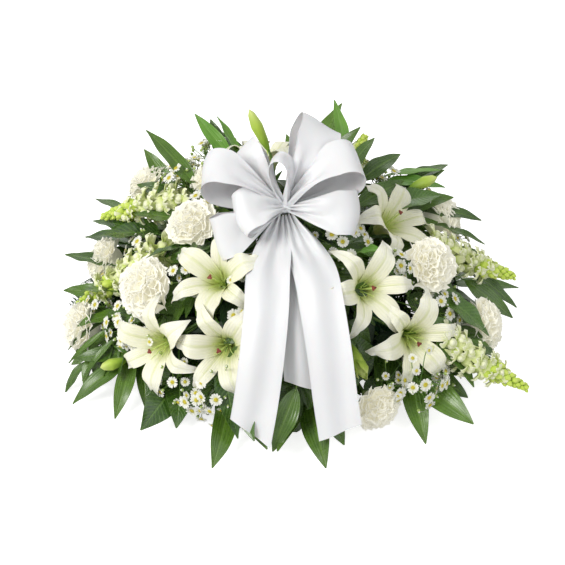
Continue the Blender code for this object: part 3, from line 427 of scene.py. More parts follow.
class Nodes:
    """Short calls for building a node tree.

    Args:
        tree: the tree that the nodes go into.
    """

    def __init__(self, tree: bpy.types.NodeTree) -> None:
        """Starts on the tree."""
        self.tree = tree

    def add(self, kind: str, feeds: dict[int | str, Any] | None = None, **settings: Any) -> bpy.types.Node:
        """Adds a node.

        Args:
            kind: the node's type.
            feeds: for each input, by number or name, a value or another node's output.
            settings: the node's own properties.

        Returns:
            The node.
        """
        node = self.tree.nodes.new(kind)
        for label, value in settings.items():
            setattr(node, label, value)
        for key, value in (feeds or {}).items():
            self.feed(node.inputs[key], value)
        return node

    def feed(self, socket: Socket, value: Any) -> None:
        """Links an output to an input, or sets the input's value."""
        if isinstance(value, Socket):
            self.tree.links.new(value, socket)
        else:
            socket.default_value = value

    def math(self, what: str, a: Any, b: Any = 0.0, c: Any = 0.0) -> Socket:
        """The result of a calculation.

        Args:
            what: the operation.
            a: first value or output.
            b: second value or output.
            c: third value or output.

        Returns:
            The output.
        """
        node = self.add("ShaderNodeMath", {0: a}, operation=what)
        if what not in ("SINE", "COSINE", "ABSOLUTE"):
            self.feed(node.inputs[1], b)
        if what == "MULTIPLY_ADD":
            self.feed(node.inputs[2], c)
        return node.outputs[0]

    def times(self, a: Any, b: Any) -> Socket:
        """A product."""
        return self.math("MULTIPLY", a, b)

    def plus(self, a: Any, b: Any) -> Socket:
        """A sum of two."""
        return self.math("ADD", a, b)

    def minus(self, a: Any, b: Any) -> Socket:
        """A difference."""
        return self.math("SUBTRACT", a, b)

    def between(self, low: Any, high: Any, share: Any) -> Socket:
        """The value at a share of the way from low to high."""
        return self.math("MULTIPLY_ADD", self.minus(high, low), share, low)

    def uv(self) -> tuple[Socket, Socket]:
        """Where a point lies across and along its surface."""
        node = self.add("ShaderNodeSeparateXYZ", {0: self.add("ShaderNodeTexCoord").outputs["UV"]})
        return node.outputs[0], node.outputs[1]

    def marked(self, shape: Socket, label: str, value: Any) -> Socket:
        """A shape with a number kept at each of its points."""
        node = self.add("GeometryNodeStoreNamedAttribute", {0: shape, 2: label, 3: value},
                        data_type="FLOAT", domain="POINT")
        return node.outputs[0]

    def step(self, value: Any, low: float, high: float, first: Any = 0.0, last: Any = 1.0) -> Socket:
        """A smooth step of a value from first at low to last at high."""
        node = self.add("ShaderNodeMapRange", {0: value, 1: low, 2: high, 3: first, 4: last},
                        interpolation_type="SMOOTHSTEP")
        return node.outputs[0]

    def mix(self, share: Any, a: Any, b: Any) -> Socket:
        """A mix of two colours, a share of it being the second."""
        node = self.add("ShaderNodeMix", data_type="RGBA")
        for number, value in ((0, share), (6, a), (7, b)):
            if isinstance(value, tuple) and len(value) == 3:
                value = (*value, 1.0)
            self.feed(node.inputs[number], value)
        return node.outputs[2]

    def chance(self, low: Any, high: Any, seed: Any, index: bool = False) -> Socket:
        """A random value for each point."""
        kind, first, out = ("INT", 4, 2) if index else ("FLOAT", 2, 1)
        node = self.add("FunctionNodeRandomValue", {first: low, first + 1: high, 8: seed}, data_type=kind)
        return node.outputs[out]


class SocketKind(Enum):
    """The kinds of named inputs and outputs that the trees use."""

    SHAPE = "NodeSocketGeometry"
    NUMBER = "NodeSocketFloat"
    COUNT = "NodeSocketInt"
    PARTS = "NodeSocketCollection"
    FINISH = "NodeSocketMaterial"


def new_tree(name: str, kind: str, inputs: dict[str, tuple[SocketKind, Any]],
             outputs: dict[str, SocketKind]) -> tuple[Nodes, dict[str, Socket], bpy.types.Node]:
    """An empty tree with its named inputs and outputs.

    Args:
        name: the tree's name.
        kind: a shader or a geometry tree.
        inputs: each input's kind and first value.
        outputs: each output's kind.

    Returns:
        The node builder, the inputs by name, and the output node.
    """
    tree = bpy.data.node_groups.new(name, kind)
    for label, (what, value) in inputs.items():
        socket = tree.interface.new_socket(name=label, in_out="INPUT", socket_type=what.value)
        if value is not None:
            socket.default_value = value
    for label, what in outputs.items():
        tree.interface.new_socket(name=label, in_out="OUTPUT", socket_type=what.value)
    nodes = Nodes(tree)
    entry = nodes.add("NodeGroupInput")
    return nodes, {label: entry.outputs[label] for label in inputs}, nodes.add("NodeGroupOutput")


def close_shape_tree(nodes: Nodes, out: bpy.types.Node, shape: Any, finish: Any) -> None:
    """Ends a geometry tree: real geometry in one finish."""
    real = nodes.add("GeometryNodeRealizeInstances", {0: shape})
    dressed = nodes.add("GeometryNodeSetMaterial", {0: real.outputs[0], "Material": finish})
    nodes.feed(out.inputs[0], dressed.outputs[0])


def set_out(nodes: Nodes, given: dict[str, Socket], out: bpy.types.Node, points: Any, seed: Any,
            rotation: Any, size: Any) -> None:
    """Ends a tree that sets one of its parts on each point.

    Args:
        nodes: the tree's builder.
        given: its inputs.
        out: its output node.
        points: the points.
        seed: draws each part's tone.
        rotation: each part's turn.
        size: each part's size.
    """
    toned = nodes.marked(points, "tone", nodes.chance(0.0, 1.0, seed))
    parts = nodes.add("GeometryNodeCollectionInfo", {0: given["Parts"], 1: True, 2: True})
    made = nodes.add("GeometryNodeInstanceOnPoints", {
        0: toned, 2: parts.outputs[0], 3: True, 4: nodes.chance(0, 999, given["Seed"], True),
        5: rotation, 6: size})
    close_shape_tree(nodes, out, made.outputs[0], given["Finish"])


def whorl_tree() -> bpy.types.NodeTree:
    """A tree that sets parts round an axis one after another, each turned, leant, lifted and
    sized by its number: petals in a rosette, rays round a daisy, florets up a spike."""
    kinds = SocketKind
    spans = {"Size": 1.0, "Lean": 0.0, "Reach": 0.0, "Height": 0.0}
    nodes, given, out = new_tree("whorl", "GeometryNodeTree", {
        "Shape": (kinds.SHAPE, None), "Parts": (kinds.PARTS, None), "Count": (kinds.COUNT, 12),
        "Turn": (kinds.NUMBER, GOLDEN_ANGLE), "Power": (kinds.NUMBER, 1.0), "Jitter": (kinds.NUMBER, 0.0),
        "Seed": (kinds.COUNT, 0), "Finish": (kinds.FINISH, None),
        **{f"{end} {what}": (kinds.NUMBER, value) for what, value in spans.items()
           for end in ("First", "Last")},
    }, {"Shape": kinds.SHAPE})
    index = nodes.add("GeometryNodeInputIndex").outputs[0]
    last = nodes.math("MAXIMUM", nodes.minus(given["Count"], 1.0), 1.0)
    share = nodes.math("POWER", nodes.math("DIVIDE", index, last), given["Power"])
    jitter = given["Jitter"]
    loose = nodes.times(jitter, -1.0)
    seeds = [nodes.plus(given["Seed"], float(k)) for k in range(5)]
    size, lean, reach, height = (nodes.between(given[f"First {what}"], given[f"Last {what}"], share)
                                 for what in spans)
    angle = nodes.math("MULTIPLY_ADD", index, given["Turn"], nodes.chance(loose, jitter, seeds[0]))
    lean = nodes.plus(lean, nodes.chance(loose, jitter, seeds[1]))
    odd = nodes.math("MULTIPLY_ADD", nodes.chance(loose, jitter, seeds[2]), 0.6, 1.0)
    place = nodes.add("ShaderNodeCombineXYZ", {0: nodes.times(reach, nodes.math("COSINE", angle)),
                                               1: nodes.times(reach, nodes.math("SINE", angle)), 2: height})
    points = nodes.add("GeometryNodePoints", {0: given["Count"], 1: place.outputs[0]})
    turned = nodes.add("ShaderNodeCombineXYZ", {0: nodes.chance(loose, jitter, seeds[4]),
                                                1: nodes.times(lean, -1.0), 2: angle})
    rotation = nodes.add("FunctionNodeEulerToRotation", {0: turned.outputs[0]})
    set_out(nodes, given, out, points.outputs[0], seeds[3], rotation.outputs[0], nodes.times(size, odd))
    return nodes.tree


def sweep_tree() -> bpy.types.NodeTree:
    """A tree that makes round stems along lines, each as thick as its points say."""
    kinds = SocketKind
    nodes, given, out = new_tree("sweep", "GeometryNodeTree", {
        "Shape": (kinds.SHAPE, None), "Sides": (kinds.COUNT, 6), "Finish": (kinds.FINISH, None),
    }, {"Shape": kinds.SHAPE})
    line = nodes.add("GeometryNodeMeshToCurve", {0: given["Shape"]})
    ring = nodes.add("GeometryNodeCurvePrimitiveCircle", {0: given["Sides"], 4: 1.0})
    marked = []
    for curve, label, output in ((line, "along", 1), (ring, "around", 0)):
        where = nodes.add("GeometryNodeSplineParameter")
        marked.append(nodes.marked(curve.outputs[0], label, where.outputs[output]))
    girth = nodes.add("GeometryNodeInputNamedAttribute", {0: "girth"}, data_type="FLOAT")
    swept = nodes.add("GeometryNodeCurveToMesh", {0: marked[0], 1: marked[1],
                                                  2: girth.outputs[0], 3: True})
    close_shape_tree(nodes, out, swept.outputs[0], given["Finish"])
    return nodes.tree


def scatter_tree() -> bpy.types.NodeTree:
    """A tree that sets leaves over a mound, each pointing away from its top and lifted."""
    kinds = SocketKind
    nodes, given, out = new_tree("scatter", "GeometryNodeTree", {
        "Shape": (kinds.SHAPE, None), "Parts": (kinds.PARTS, None), "Spacing": (kinds.NUMBER, 0.03),
        "Density": (kinds.NUMBER, 800.0), "Swing": (kinds.NUMBER, 0.8), "Low Lift": (kinds.NUMBER, 0.1),
        "High Lift": (kinds.NUMBER, 0.6), "Smallest": (kinds.NUMBER, 0.8), "Largest": (kinds.NUMBER, 1.1),
        "Seed": (kinds.COUNT, 0), "Finish": (kinds.FINISH, None),
    }, {"Shape": kinds.SHAPE})
    points = nodes.add("GeometryNodeDistributePointsOnFaces", {
        0: given["Shape"], "Distance Min": given["Spacing"], "Density Max": given["Density"],
        "Seed": given["Seed"]}, distribute_method="POISSON")
    seeds = [nodes.plus(given["Seed"], float(k)) for k in range(5)]
    upright = nodes.add("FunctionNodeAlignRotationToVector", {2: points.outputs["Normal"]}, axis="Z")
    here = nodes.add("GeometryNodeInputPosition")
    outward = nodes.add("ShaderNodeVectorMath", {0: here.outputs[0], 1: (1.0, 1.0, 0.0)},
                        operation="MULTIPLY")
    faced = nodes.add("FunctionNodeAlignRotationToVector", {0: upright.outputs[0], 2: outward.outputs[0]},
                      axis="X", pivot_axis="Z")
    back = nodes.times(given["Swing"], -1.0)
    swing = nodes.add("ShaderNodeCombineXYZ", {
        0: nodes.chance(-0.35, 0.35, seeds[1]),
        1: nodes.times(nodes.chance(given["Low Lift"], given["High Lift"], seeds[2]), -1.0),
        2: nodes.chance(back, given["Swing"], seeds[3])})
    turn = nodes.add("FunctionNodeEulerToRotation", {0: swing.outputs[0]})
    rotation = nodes.add("FunctionNodeRotateRotation", {0: faced.outputs[0], 1: turn.outputs[0]},
                         rotation_space="LOCAL")
    set_out(nodes, given, out, points.outputs[0], seeds[0], rotation.outputs[0],
            nodes.chance(given["Smallest"], given["Largest"], seeds[4]))
    return nodes.tree


class Growth:
    """Runs the geometry trees and gives back what they make.

    Args:
        finishes: the materials by name.
    """

    def __init__(self, finishes: dict[str, bpy.types.Material]) -> None:
        """Makes the geometry trees."""
        self.finishes = finishes
        self.trees = {"whorl": whorl_tree(), "sweep": sweep_tree(), "scatter": scatter_tree()}

    def run(self, tree: str, mesh: bpy.types.Mesh, values: dict[str, Any]) -> Patch:
        """Evaluates a tree on a mesh.

        Args:
            tree: the tree's name.
            mesh: what goes into it.
            values: its inputs by name.

        Returns:
            What it made, as a patch.
        """
        made = linked("growing", mesh)
        modifier = made.modifiers.new("grow", "NODES")
        modifier.node_group = self.trees[tree]
        for item in self.trees[tree].interface.items_tree:
            if item.in_out == "INPUT" and item.name in values:
                modifier[item.identifier] = values[item.name]
        shown = made.evaluated_get(bpy.context.evaluated_depsgraph_get())
        result = bpy.data.meshes.new_from_object(shown)
        made.modifiers.clear()
        patch = patch_of(result)
        bpy.data.objects.remove(made)
        bpy.data.meshes.remove(mesh)
        bpy.data.meshes.remove(result)
        return patch

    def whorl(self, parts: Sequence[Patch], finish: str, **values: Any) -> Patch:
        """Parts set round the Z axis.

        Args:
            parts: the unit shapes to pick from.
            finish: their finish.
            values: the tree's inputs, with underscores for spaces.

        Returns:
            The whorl.
        """
        return self.with_parts("whorl", bpy.data.meshes.new("seed_point"), parts, finish, values)

    def scatter(self, ground: Patch, parts: Sequence[Patch], finish: str, **values: Any) -> Patch:
        """Parts set over a mound."""
        return self.with_parts("scatter", ground.mesh("mound"), parts, finish, values)

    def with_parts(self, tree: str, mesh: bpy.types.Mesh, parts: Sequence[Patch],
                   finish: str, values: dict[str, Any]) -> Patch:
        """Runs a tree that picks from a collection of parts, and clears the collection."""
        group = bpy.data.collections.new("parts")
        for i, part in enumerate(parts):
            group.objects.link(bpy.data.objects.new(f"part_{i}", part.mesh(f"part_{i}")))
        named = {label.replace("_", " ").title(): value for label, value in values.items()}
        patch = self.run(tree, mesh, {**named, "Parts": group, "Finish": self.finishes[finish]})
        for old in list(group.objects):
            data = old.data
            bpy.data.objects.remove(old)
            bpy.data.meshes.remove(data)
        bpy.data.collections.remove(group)
        return patch

    def stems(self, lines: Lines, finish: str, sides: int, tone: float) -> Patch:
        """Round stems along lines.

        Args:
            lines: for each stem its points and its radii.
            finish: their finish.
            sides: points round a stem.
            tone: their shade.

        Returns:
            The stems.
        """
        points: list[tuple[float, ...]] = []
        edges, girths = [], []
        for line, radii in lines:
            first = len(points)
            points += [tuple(p) for p in line]
            edges += [(first + i, first + i + 1) for i in range(len(line) - 1)]
            girths += list(np.interp(np.linspace(0, 1, len(line)), np.linspace(0, 1, len(radii)), radii))
        mesh = bpy.data.meshes.new("lines")
        mesh.from_pydata(points, edges, [])
        mesh.attributes.new("girth", "FLOAT", "POINT").data.foreach_set("value", girths)
        return self.run("sweep", mesh, {"Sides": sides, "Finish": self.finishes[finish]}).toned(tone)


# Finishes


def effect_groups() -> Groups:
    """The effects that several finishes share.

    Returns:
        Shader groups by name: mottle, ribs and midrib.
    """
    kinds = SocketKind
    number = kinds.NUMBER
    groups = {}
    nodes, given, out = new_tree("mottle", "ShaderNodeTree", {
        "Scale": (number, 60.0), "Low": (number, 0.0), "High": (number, 1.0)}, {"Value": number})
    where = nodes.add("ShaderNodeTexCoord").outputs["Object"]
    noise = nodes.add("ShaderNodeTexNoise", {"Vector": where, "Scale": given["Scale"], "Detail": 4.0,
                                             "Roughness": 0.6})
    nodes.feed(out.inputs[0], nodes.step(noise.outputs[0], 0.32, 0.68, given["Low"], given["High"]))
    groups["mottle"] = nodes.tree

    nodes, given, out = new_tree("ribs", "ShaderNodeTree", {
        "Count": (number, 12.0), "Sharpness": (number, 1.0), "Skew": (number, 0.0)}, {"Height": number})
    across, along = nodes.uv()
    from_middle = nodes.math("ABSOLUTE", nodes.minus(across, 0.5))
    run = nodes.minus(nodes.times(from_middle, given["Count"]), nodes.times(along, given["Skew"]))
    wave = nodes.math("ABSOLUTE", nodes.math("SINE", nodes.times(run, math.pi)))
    nodes.feed(out.inputs[0], nodes.math("POWER", wave, given["Sharpness"]))
    groups["ribs"] = nodes.tree

    nodes, given, out = new_tree("midrib", "ShaderNodeTree", {"Width": (number, 0.04)}, {"Mask": number})
    from_middle = nodes.math("ABSOLUTE", nodes.minus(nodes.uv()[0], 0.5))
    share = nodes.math("DIVIDE", from_middle, given["Width"])
    nodes.feed(out.inputs[0], nodes.step(share, 0.2, 1.0, 1.0, 0.0))
    groups["midrib"] = nodes.tree
    return groups


class Material:
    """A material under construction, with the shared effects at hand.

    Args:
        name: its name.
        groups: the shared shader groups.
    """

    def __init__(self, name: str, groups: Groups) -> None:
        """Starts the material with its shader and UV."""
        self.made = bpy.data.materials.new(name)
        self.made.use_nodes = True
        self.nodes = Nodes(self.made.node_tree)
        self.groups = groups
        self.shader = self.made.node_tree.nodes["Principled BSDF"]
        self.across, self.along = self.nodes.uv()

    def effect(self, name: str, **values: Any) -> Socket:
        """A shared effect's output, with its inputs set by name."""
        node = self.nodes.add("ShaderNodeGroup", node_tree=self.groups[name])
        for label, value in values.items():
            self.nodes.feed(node.inputs[label.title()], value)
        return node.outputs[0]

    def attribute(self, name: str) -> Socket:
        """An attribute of the mesh, as a number."""
        return self.nodes.add("ShaderNodeAttribute", attribute_name=name).outputs["Fac"]

    def bump(self, height: Any, depth: float) -> None:
        """Raises the surface by a height, of so many metres at 1."""
        node = self.nodes.add("ShaderNodeBump", {"Strength": 1.0, "Distance": depth, "Height": height})
        self.nodes.feed(self.shader.inputs["Normal"], node.outputs[0])

    def finish(self, colour: Any, roughness: Any, **plain: Any) -> bpy.types.Material:
        """Sets the shader's colour, roughness and plain values.

        Args:
            colour: the output that feeds the colour.
            roughness: an output or a number.
            plain: other sockets of the shader, with underscores for spaces.

        Returns:
            The material.
        """
        self.nodes.feed(self.shader.inputs["Base Color"], colour)
        self.nodes.feed(self.shader.inputs["Roughness"], roughness)
        for label, value in plain.items():
            self.shader.inputs[label.replace("_", " ")].default_value = value
        return self.made


@dataclass(frozen=True)
class LeafFinish:
    """A leaf's finish: glossy green with its veins, paler underneath.

    Args:
        name: the material's name.
        dark: the deepest green.
        light: the lightest green.
        rib: the colour of the veins.
        back: the colour underneath.
        ribs: how many veins cross half of the leaf.
        skew: 0 for veins along the leaf, more for veins that branch off the midrib.
        rough: the roughness.
        coat: the weight of the waxy coat.
        relief: how high the veins stand.
    """

    name: str
    dark: Colour
    light: Colour
    rib: Colour
    back: Colour
    ribs: float = 9.0
    skew: float = 0.0
    rough: float = 0.38
    coat: float = 0.25
    relief: float = 0.0004

    def build(self, groups: Groups) -> bpy.types.Material:
        """Makes the material."""
        m = Material(self.name, groups)
        n = m.nodes
        mottle = m.effect("mottle", scale=55.0, low=0.0, high=1.0)
        tone = m.attribute("tone")
        blend = n.plus(n.times(tone, 0.70), n.times(mottle, 0.30))
        body = n.mix(blend, self.dark, self.light)
        veins = m.effect("ribs", count=self.ribs, sharpness=6.0 if self.skew else 1.6, skew=self.skew)
        body = n.mix(n.times(veins, 0.30 if self.skew else 0.22), body, self.rib)
        middle = m.effect("midrib", width=0.055)
        body = n.mix(n.times(middle, 0.55), body, self.rib)
        tip = n.step(m.along, 0.90, 1.0, 0.0, 0.35)
        body = n.mix(tip, body, self.rib)
        body = n.mix(n.times(m.attribute("under"), 0.75), body, self.back)
        m.bump(n.plus(n.times(veins, -0.6), n.times(middle, -1.4)), self.relief)
        fine = m.effect("mottle", scale=240.0, low=self.rough - 0.08, high=self.rough + 0.12)
        return m.finish(body, fine, Coat_Weight=self.coat, Coat_Roughness=0.22, Specular_IOR_Level=0.5,
                        Subsurface_Weight=0.06, Subsurface_Scale=0.002,
                        Subsurface_Radius=(0.5, 1.0, 0.2))


@dataclass(frozen=True)
class PetalFinish:
    """A petal's finish: a soft blend from its foot to its rim, with fine veins.

    Args:
        name: the material's name.
        foot: the colour at the foot.
        body: the colour of the blade.
        rim: the colour at the rim.
        vein: the colour of the veins and the midrib.
        reach: how far up the foot's colour goes, from and to.
        ribs: how many veins cross half of the petal.
        midrib: how strong the midrib is.
        rough: the roughness.
        relief: how high the veins stand.
        glow: how much light goes through.
        shared: the strength of a painted glow in the body colour, standing in for light passed between
            petals.
    """

    name: str
    foot: Colour
    body: Colour
    rim: Colour
    vein: Colour
    reach: Aim = (0.10, 0.50)
    ribs: float = 7.0
    midrib: float = 0.0
    rough: float = 0.48
    relief: float = 0.0003
    glow: float = 0.18
    shared: float = 0.0

    def build(self, groups: Groups) -> bpy.types.Material:
        """Makes the material."""
        m = Material(self.name, groups)
        n = m.nodes
        body = n.mix(n.step(m.along, self.reach[1], 1.0), self.body, self.rim)
        body = n.mix(n.step(m.along, self.reach[0], self.reach[1], 1.0, 0.0), body, self.foot)
        veins = m.effect("ribs", count=self.ribs, sharpness=2.0)
        fading = n.step(m.along, 0.35, 1.0, 0.16, 0.03)
        body = n.mix(n.times(veins, fading), body, self.vein)
        middle = m.effect("midrib", width=0.09)
        strength = n.times(n.times(middle, self.midrib), n.step(m.along, 0.35, 0.95, 1.0, 0.15))
        body = n.mix(strength, body, self.vein)
        shade = n.times(m.attribute("tone"), 0.12)
        mottle = m.effect("mottle", scale=90.0, low=0.0, high=0.10)
        body = n.mix(n.plus(shade, mottle), body, self.vein)
        m.bump(n.plus(n.times(veins, 0.5), n.times(middle, -self.midrib)), self.relief)
        fine = m.effect("mottle", scale=420.0, low=self.rough - 0.06, high=self.rough + 0.10)
        # Painted glow: an emission in the body colour, as strong as shared, stands in for light passed
        # between dense petals.
        return m.finish(body, fine, Subsurface_Weight=self.glow, Subsurface_Scale=0.004,
                        Subsurface_Radius=(1.0, 0.9, 0.6), Specular_IOR_Level=0.4,
                        Sheen_Weight=0.15, Sheen_Roughness=0.4, Emission_Color=(*self.body, 1.0),
                        Emission_Strength=self.shared)


@dataclass(frozen=True)
class GrainFinish:
    """A plain stuff with a fine grain, such as a stem, wood, plastic, foam or a flower's disc.

    Args:
        name: the material's name.
        dark: its darker colour.
        light: its lighter colour.
        scale: how fine its grain is.
        stretch: how much the grain is drawn out along Z.
        rough: the roughness.
        relief: how high the grain stands.
        pits: how strong open pores are: how deep they sink, and how much painted shade darkens their hollows.
        coat: the weight of a coat.
    """

    name: str
    dark: Colour
    light: Colour
    scale: float = 300.0
    stretch: float = 1.0
    rough: float = 0.5
    relief: float = 0.0002
    pits: float = 0.0
    coat: float = 0.0

    def build(self, groups: Groups) -> bpy.types.Material:
        """Makes the material."""
        m = Material(self.name, groups)
        n = m.nodes
        where = n.add("ShaderNodeTexCoord").outputs["Object"]
        drawn = n.add("ShaderNodeMapping", {0: where, 3: (1.0, 1.0, 1.0 / self.stretch)})
        grain = n.add("ShaderNodeTexNoise", {0: drawn.outputs[0], "Scale": self.scale, "Detail": 6.0})
        body = n.mix(n.step(grain.outputs[0], 0.35, 0.65), self.dark, self.light)
        height = grain.outputs[0]
        if self.pits:
            cells = n.add("ShaderNodeTexVoronoi", {"Vector": where, "Scale": self.scale * 1.6})
            pit = n.step(cells.outputs["Distance"], 0.12, 0.45)
            # Painted shade: the hollow of each pore is mixed towards the dark colour.
            body = n.mix(n.times(n.minus(1.0, pit), self.pits), body, self.dark)
            height = n.plus(height, n.times(pit, self.pits))
        worn = m.effect("mottle", scale=30.0, low=0.0, high=0.25)
        body = n.mix(worn, body, self.light)
        m.bump(height, self.relief)
        rough = m.effect("mottle", scale=120.0, low=self.rough - 0.08, high=self.rough + 0.10)
        return m.finish(body, rough, Coat_Weight=self.coat, Coat_Roughness=0.3)


@dataclass(frozen=True)
class SatinFinish:
    """White satin ribbon: a fine twill, a woven edge, soft sheen along the folds, and painted shade in
    patches.

    Args:
        name: the material's name.
        bright: the colour of the face.
        cool: the colour of its painted shade, in soft patches and along the woven edge.
        threads: threads across the width and for each width of length.
        edge: how wide the woven edge is, as a share of the width.
    """

    name: str
    bright: Colour
    cool: Colour
    threads: Aim = (150.0, 110.0)
    edge: float = 0.018

    def build(self, groups: Groups) -> bpy.types.Material:
        """Makes the material."""
        m = Material(self.name, groups)
        n = m.nodes
        weft = n.math("SINE", n.times(m.along, math.tau * self.threads[1]))
        warp = n.math("SINE", n.times(m.across, math.tau * self.threads[0]))
        weave = n.times(weft, warp)
        from_edge = n.minus(0.5, n.math("ABSOLUTE", n.minus(m.across, 0.5)))
        edge = n.step(from_edge, self.edge * 0.6, self.edge, 1.0, 0.0)
        # Painted shade: soft cloudy patches mixed towards the cool shade colour.
        painted_shade_cloud = m.effect("mottle", scale=9.0, low=0.0, high=0.22)
        body = n.mix(painted_shade_cloud, self.bright, self.cool)
        # The woven edge is raised and painted darker in the shade colour: partly its own edge, partly painted
        # shade.
        body = n.mix(n.times(edge, 0.45), body, self.cool)
        m.bump(n.plus(n.times(weave, 0.25), n.times(edge, 1.5)), 0.00012)
        rough = m.effect("mottle", scale=14.0, low=0.30, high=0.34)
        return m.finish(body, rough, Sheen_Weight=0.25, Sheen_Roughness=0.35, Anisotropic=0.45,
                        Specular_IOR_Level=0.55, Subsurface_Weight=0.08, Subsurface_Scale=0.002)


FINISHES = (
    PetalFinish("lily_petal", (0.56, 0.64, 0.16), (0.92, 0.89, 0.70), (0.94, 0.92, 0.80),
                (0.70, 0.74, 0.36), (0.08, 0.34), 8.0, 0.60, 0.42, 0.0005, 0.30),
    # The last number of the carnation and snapdragon petals is the strength of their painted glow.
    PetalFinish("carnation_petal", (0.92, 0.89, 0.62), (0.93, 0.91, 0.79), (0.93, 0.92, 0.86),
                (0.90, 0.86, 0.66), (0.20, 0.60), 9.0, 0.0, 0.58, 0.0002, 0.0, 0.10),
    PetalFinish("snapdragon_petal", (0.50, 0.62, 0.12), (0.80, 0.84, 0.46), (0.92, 0.92, 0.72),
                (0.62, 0.72, 0.26), (0.10, 0.45), 5.0, 0.0, 0.50, 0.0003, 0.05, 0.02),
    PetalFinish("snapdragon_bud", (0.26, 0.44, 0.03), (0.52, 0.68, 0.08), (0.66, 0.76, 0.18),
                (0.38, 0.54, 0.06), (0.05, 0.35), 3.0, 0.0, 0.48, 0.0003, 0.25),
    PetalFinish("lily_bud_skin", (0.22, 0.40, 0.03), (0.46, 0.62, 0.08), (0.62, 0.70, 0.22),
                (0.26, 0.44, 0.04), (0.05, 0.60), 4.0, 0.3, 0.40, 0.0004, 0.12),
    PetalFinish("aster_ray", (0.80, 0.82, 0.50), (0.90, 0.90, 0.82), (0.93, 0.93, 0.88),
                (0.78, 0.80, 0.62), (0.05, 0.35), 2.0, 0.0, 0.55, 0.0002, 0.15),
    GrainFinish("aster_disc", (0.42, 0.40, 0.03), (0.85, 0.68, 0.06), 1400.0, 1.0, 0.75, 0.0006, 0.5),
    GrainFinish("bud_green", (0.20, 0.34, 0.06), (0.48, 0.58, 0.20), 500.0, 1.0, 0.6, 0.0003),
    GrainFinish("stem_green", (0.07, 0.17, 0.03), (0.20, 0.34, 0.07), 220.0, 6.0, 0.45, 0.0003, 0.0, 0.1),
    GrainFinish("lily_style", (0.42, 0.56, 0.12), (0.62, 0.74, 0.26), 260.0, 4.0, 0.4, 0.0002, 0.0, 0.2),
    GrainFinish("lily_stigma", (0.10, 0.015, 0.010), (0.28, 0.05, 0.02), 900.0, 1.0, 0.5, 0.0004, 0.2),
    LeafFinish("palm_leaf", (0.014, 0.052, 0.005), (0.100, 0.210, 0.014), (0.160, 0.290, 0.035),
               (0.100, 0.180, 0.035), 8.0, 0.0, 0.32, 0.45, 0.0005),
    LeafFinish("salal_leaf", (0.012, 0.046, 0.006), (0.072, 0.170, 0.014), (0.130, 0.250, 0.035),
               (0.120, 0.190, 0.050), 5.0, 13.0, 0.30, 0.50, 0.0004),
    LeafFinish("fern_leaf", (0.004, 0.020, 0.005), (0.016, 0.060, 0.012), (0.030, 0.080, 0.020),
               (0.050, 0.100, 0.035), 3.0, 8.0, 0.52, 0.10, 0.0003),
    LeafFinish("bright_leaf", (0.055, 0.190, 0.012), (0.150, 0.340, 0.030), (0.220, 0.420, 0.070),
               (0.160, 0.300, 0.070), 6.0, 0.0, 0.38, 0.25, 0.0004),
    SatinFinish("ribbon_satin", (0.79, 0.79, 0.80), (0.70, 0.71, 0.74)),
    GrainFinish("pick_wood", (0.34, 0.22, 0.11), (0.58, 0.43, 0.26), 90.0, 12.0, 0.7, 0.0003),
    GrainFinish("tray_plastic", (0.008, 0.040, 0.015), (0.020, 0.080, 0.030), 700.0, 1.0, 0.45, 0.00005),
    GrainFinish("wet_foam", (0.015, 0.075, 0.030), (0.050, 0.170, 0.070), 420.0, 1.0, 0.92, 0.0006, 0.8),
)


# The layout


@dataclass(frozen=True)
class Bloom:
    """A flower head.

    Args:
        name: its solid's name.
        at: the middle of its face.
        faces: the bearing and rise that it faces.
        spin: its turn about that direction.
        size: its size against the usual one.
    """

    name: str
    at: Place
    faces: Aim
    spin: float = 0.0
    size: float = 1.0

    def axis(self) -> Vector:
        """The direction that it faces."""
        return heading(*self.faces)

    def base(self, depth: float) -> Vector:
        """The point so far behind its face."""
        return Vector(self.at) - self.axis() * depth * self.size


@dataclass(frozen=True)
class Bud:
    """A lily bud: its tip, the way it points, its length and whether it has opened."""

    tip: Place
    points: Aim
    length: float = 0.055
    opened: bool = False


@dataclass(frozen=True)
class LilyStem:
    """A lily stem that forks to its blooms and its bud."""

    name: str
    fork: Place
    blooms: tuple[str, ...]
    bud: Bud


@dataclass(frozen=True)
class Spike:
    """A snapdragon: where its lowest florets and its tip are."""

    name: str
    low: Place
    tip: Place
    seed: int


@dataclass(frozen=True)
class Spray:
    """A branched aster spray: its middle, the way it faces, its width, heads and seed."""

    name: str
    at: Place
    faces: Aim
    width: float
    heads: int
    seed: int


class LeafKind(Enum):
    """The kinds of leaf in the spray."""

    PALM = "palm"
    SALAL = "salal"
    FERN = "fern"


@dataclass(frozen=True)
class Leafy:
    """A leafy stem: where its last leaf springs, the way it runs there, and its leaves."""

    name: str
    kind: LeafKind
    tip: Place
    runs: Aim
    leaves: int
    length: float
    half_width: float
    seed: int


@dataclass(frozen=True)
class Frond:
    """A frond that branches off a leafy stem low down: how far up the stem, where its blade
    starts, the way it runs, its length, the seed of its turns and droop, and how much further
    it sags under a bloom, in degrees."""

    stem: str
    up: float
    at: Place
    runs: Aim
    length: float
    seed: int
    sag: float = 0.0


@dataclass(frozen=True)
class Accent:
    """A single leaf that stands out of the spray.

    Args:
        root: where its blade starts.
        runs: the bearing and rise that it runs in.
        length: its length.
        half_width: half of its widest.
        droop: how far it bends, in degrees.
    """

    root: Place
    runs: Aim
    length: float
    half_width: float
    droop: float


@dataclass(frozen=True)
class Loop:
    """A bow loop: its angle round the knot and its lift off the bow's plane in degrees, its
    length, how far it opens, its turn about its own direction in degrees, and its width."""

    angle: float
    lift: float
    length: float
    fullness: float
    tilt: float
    width: float = 0.064


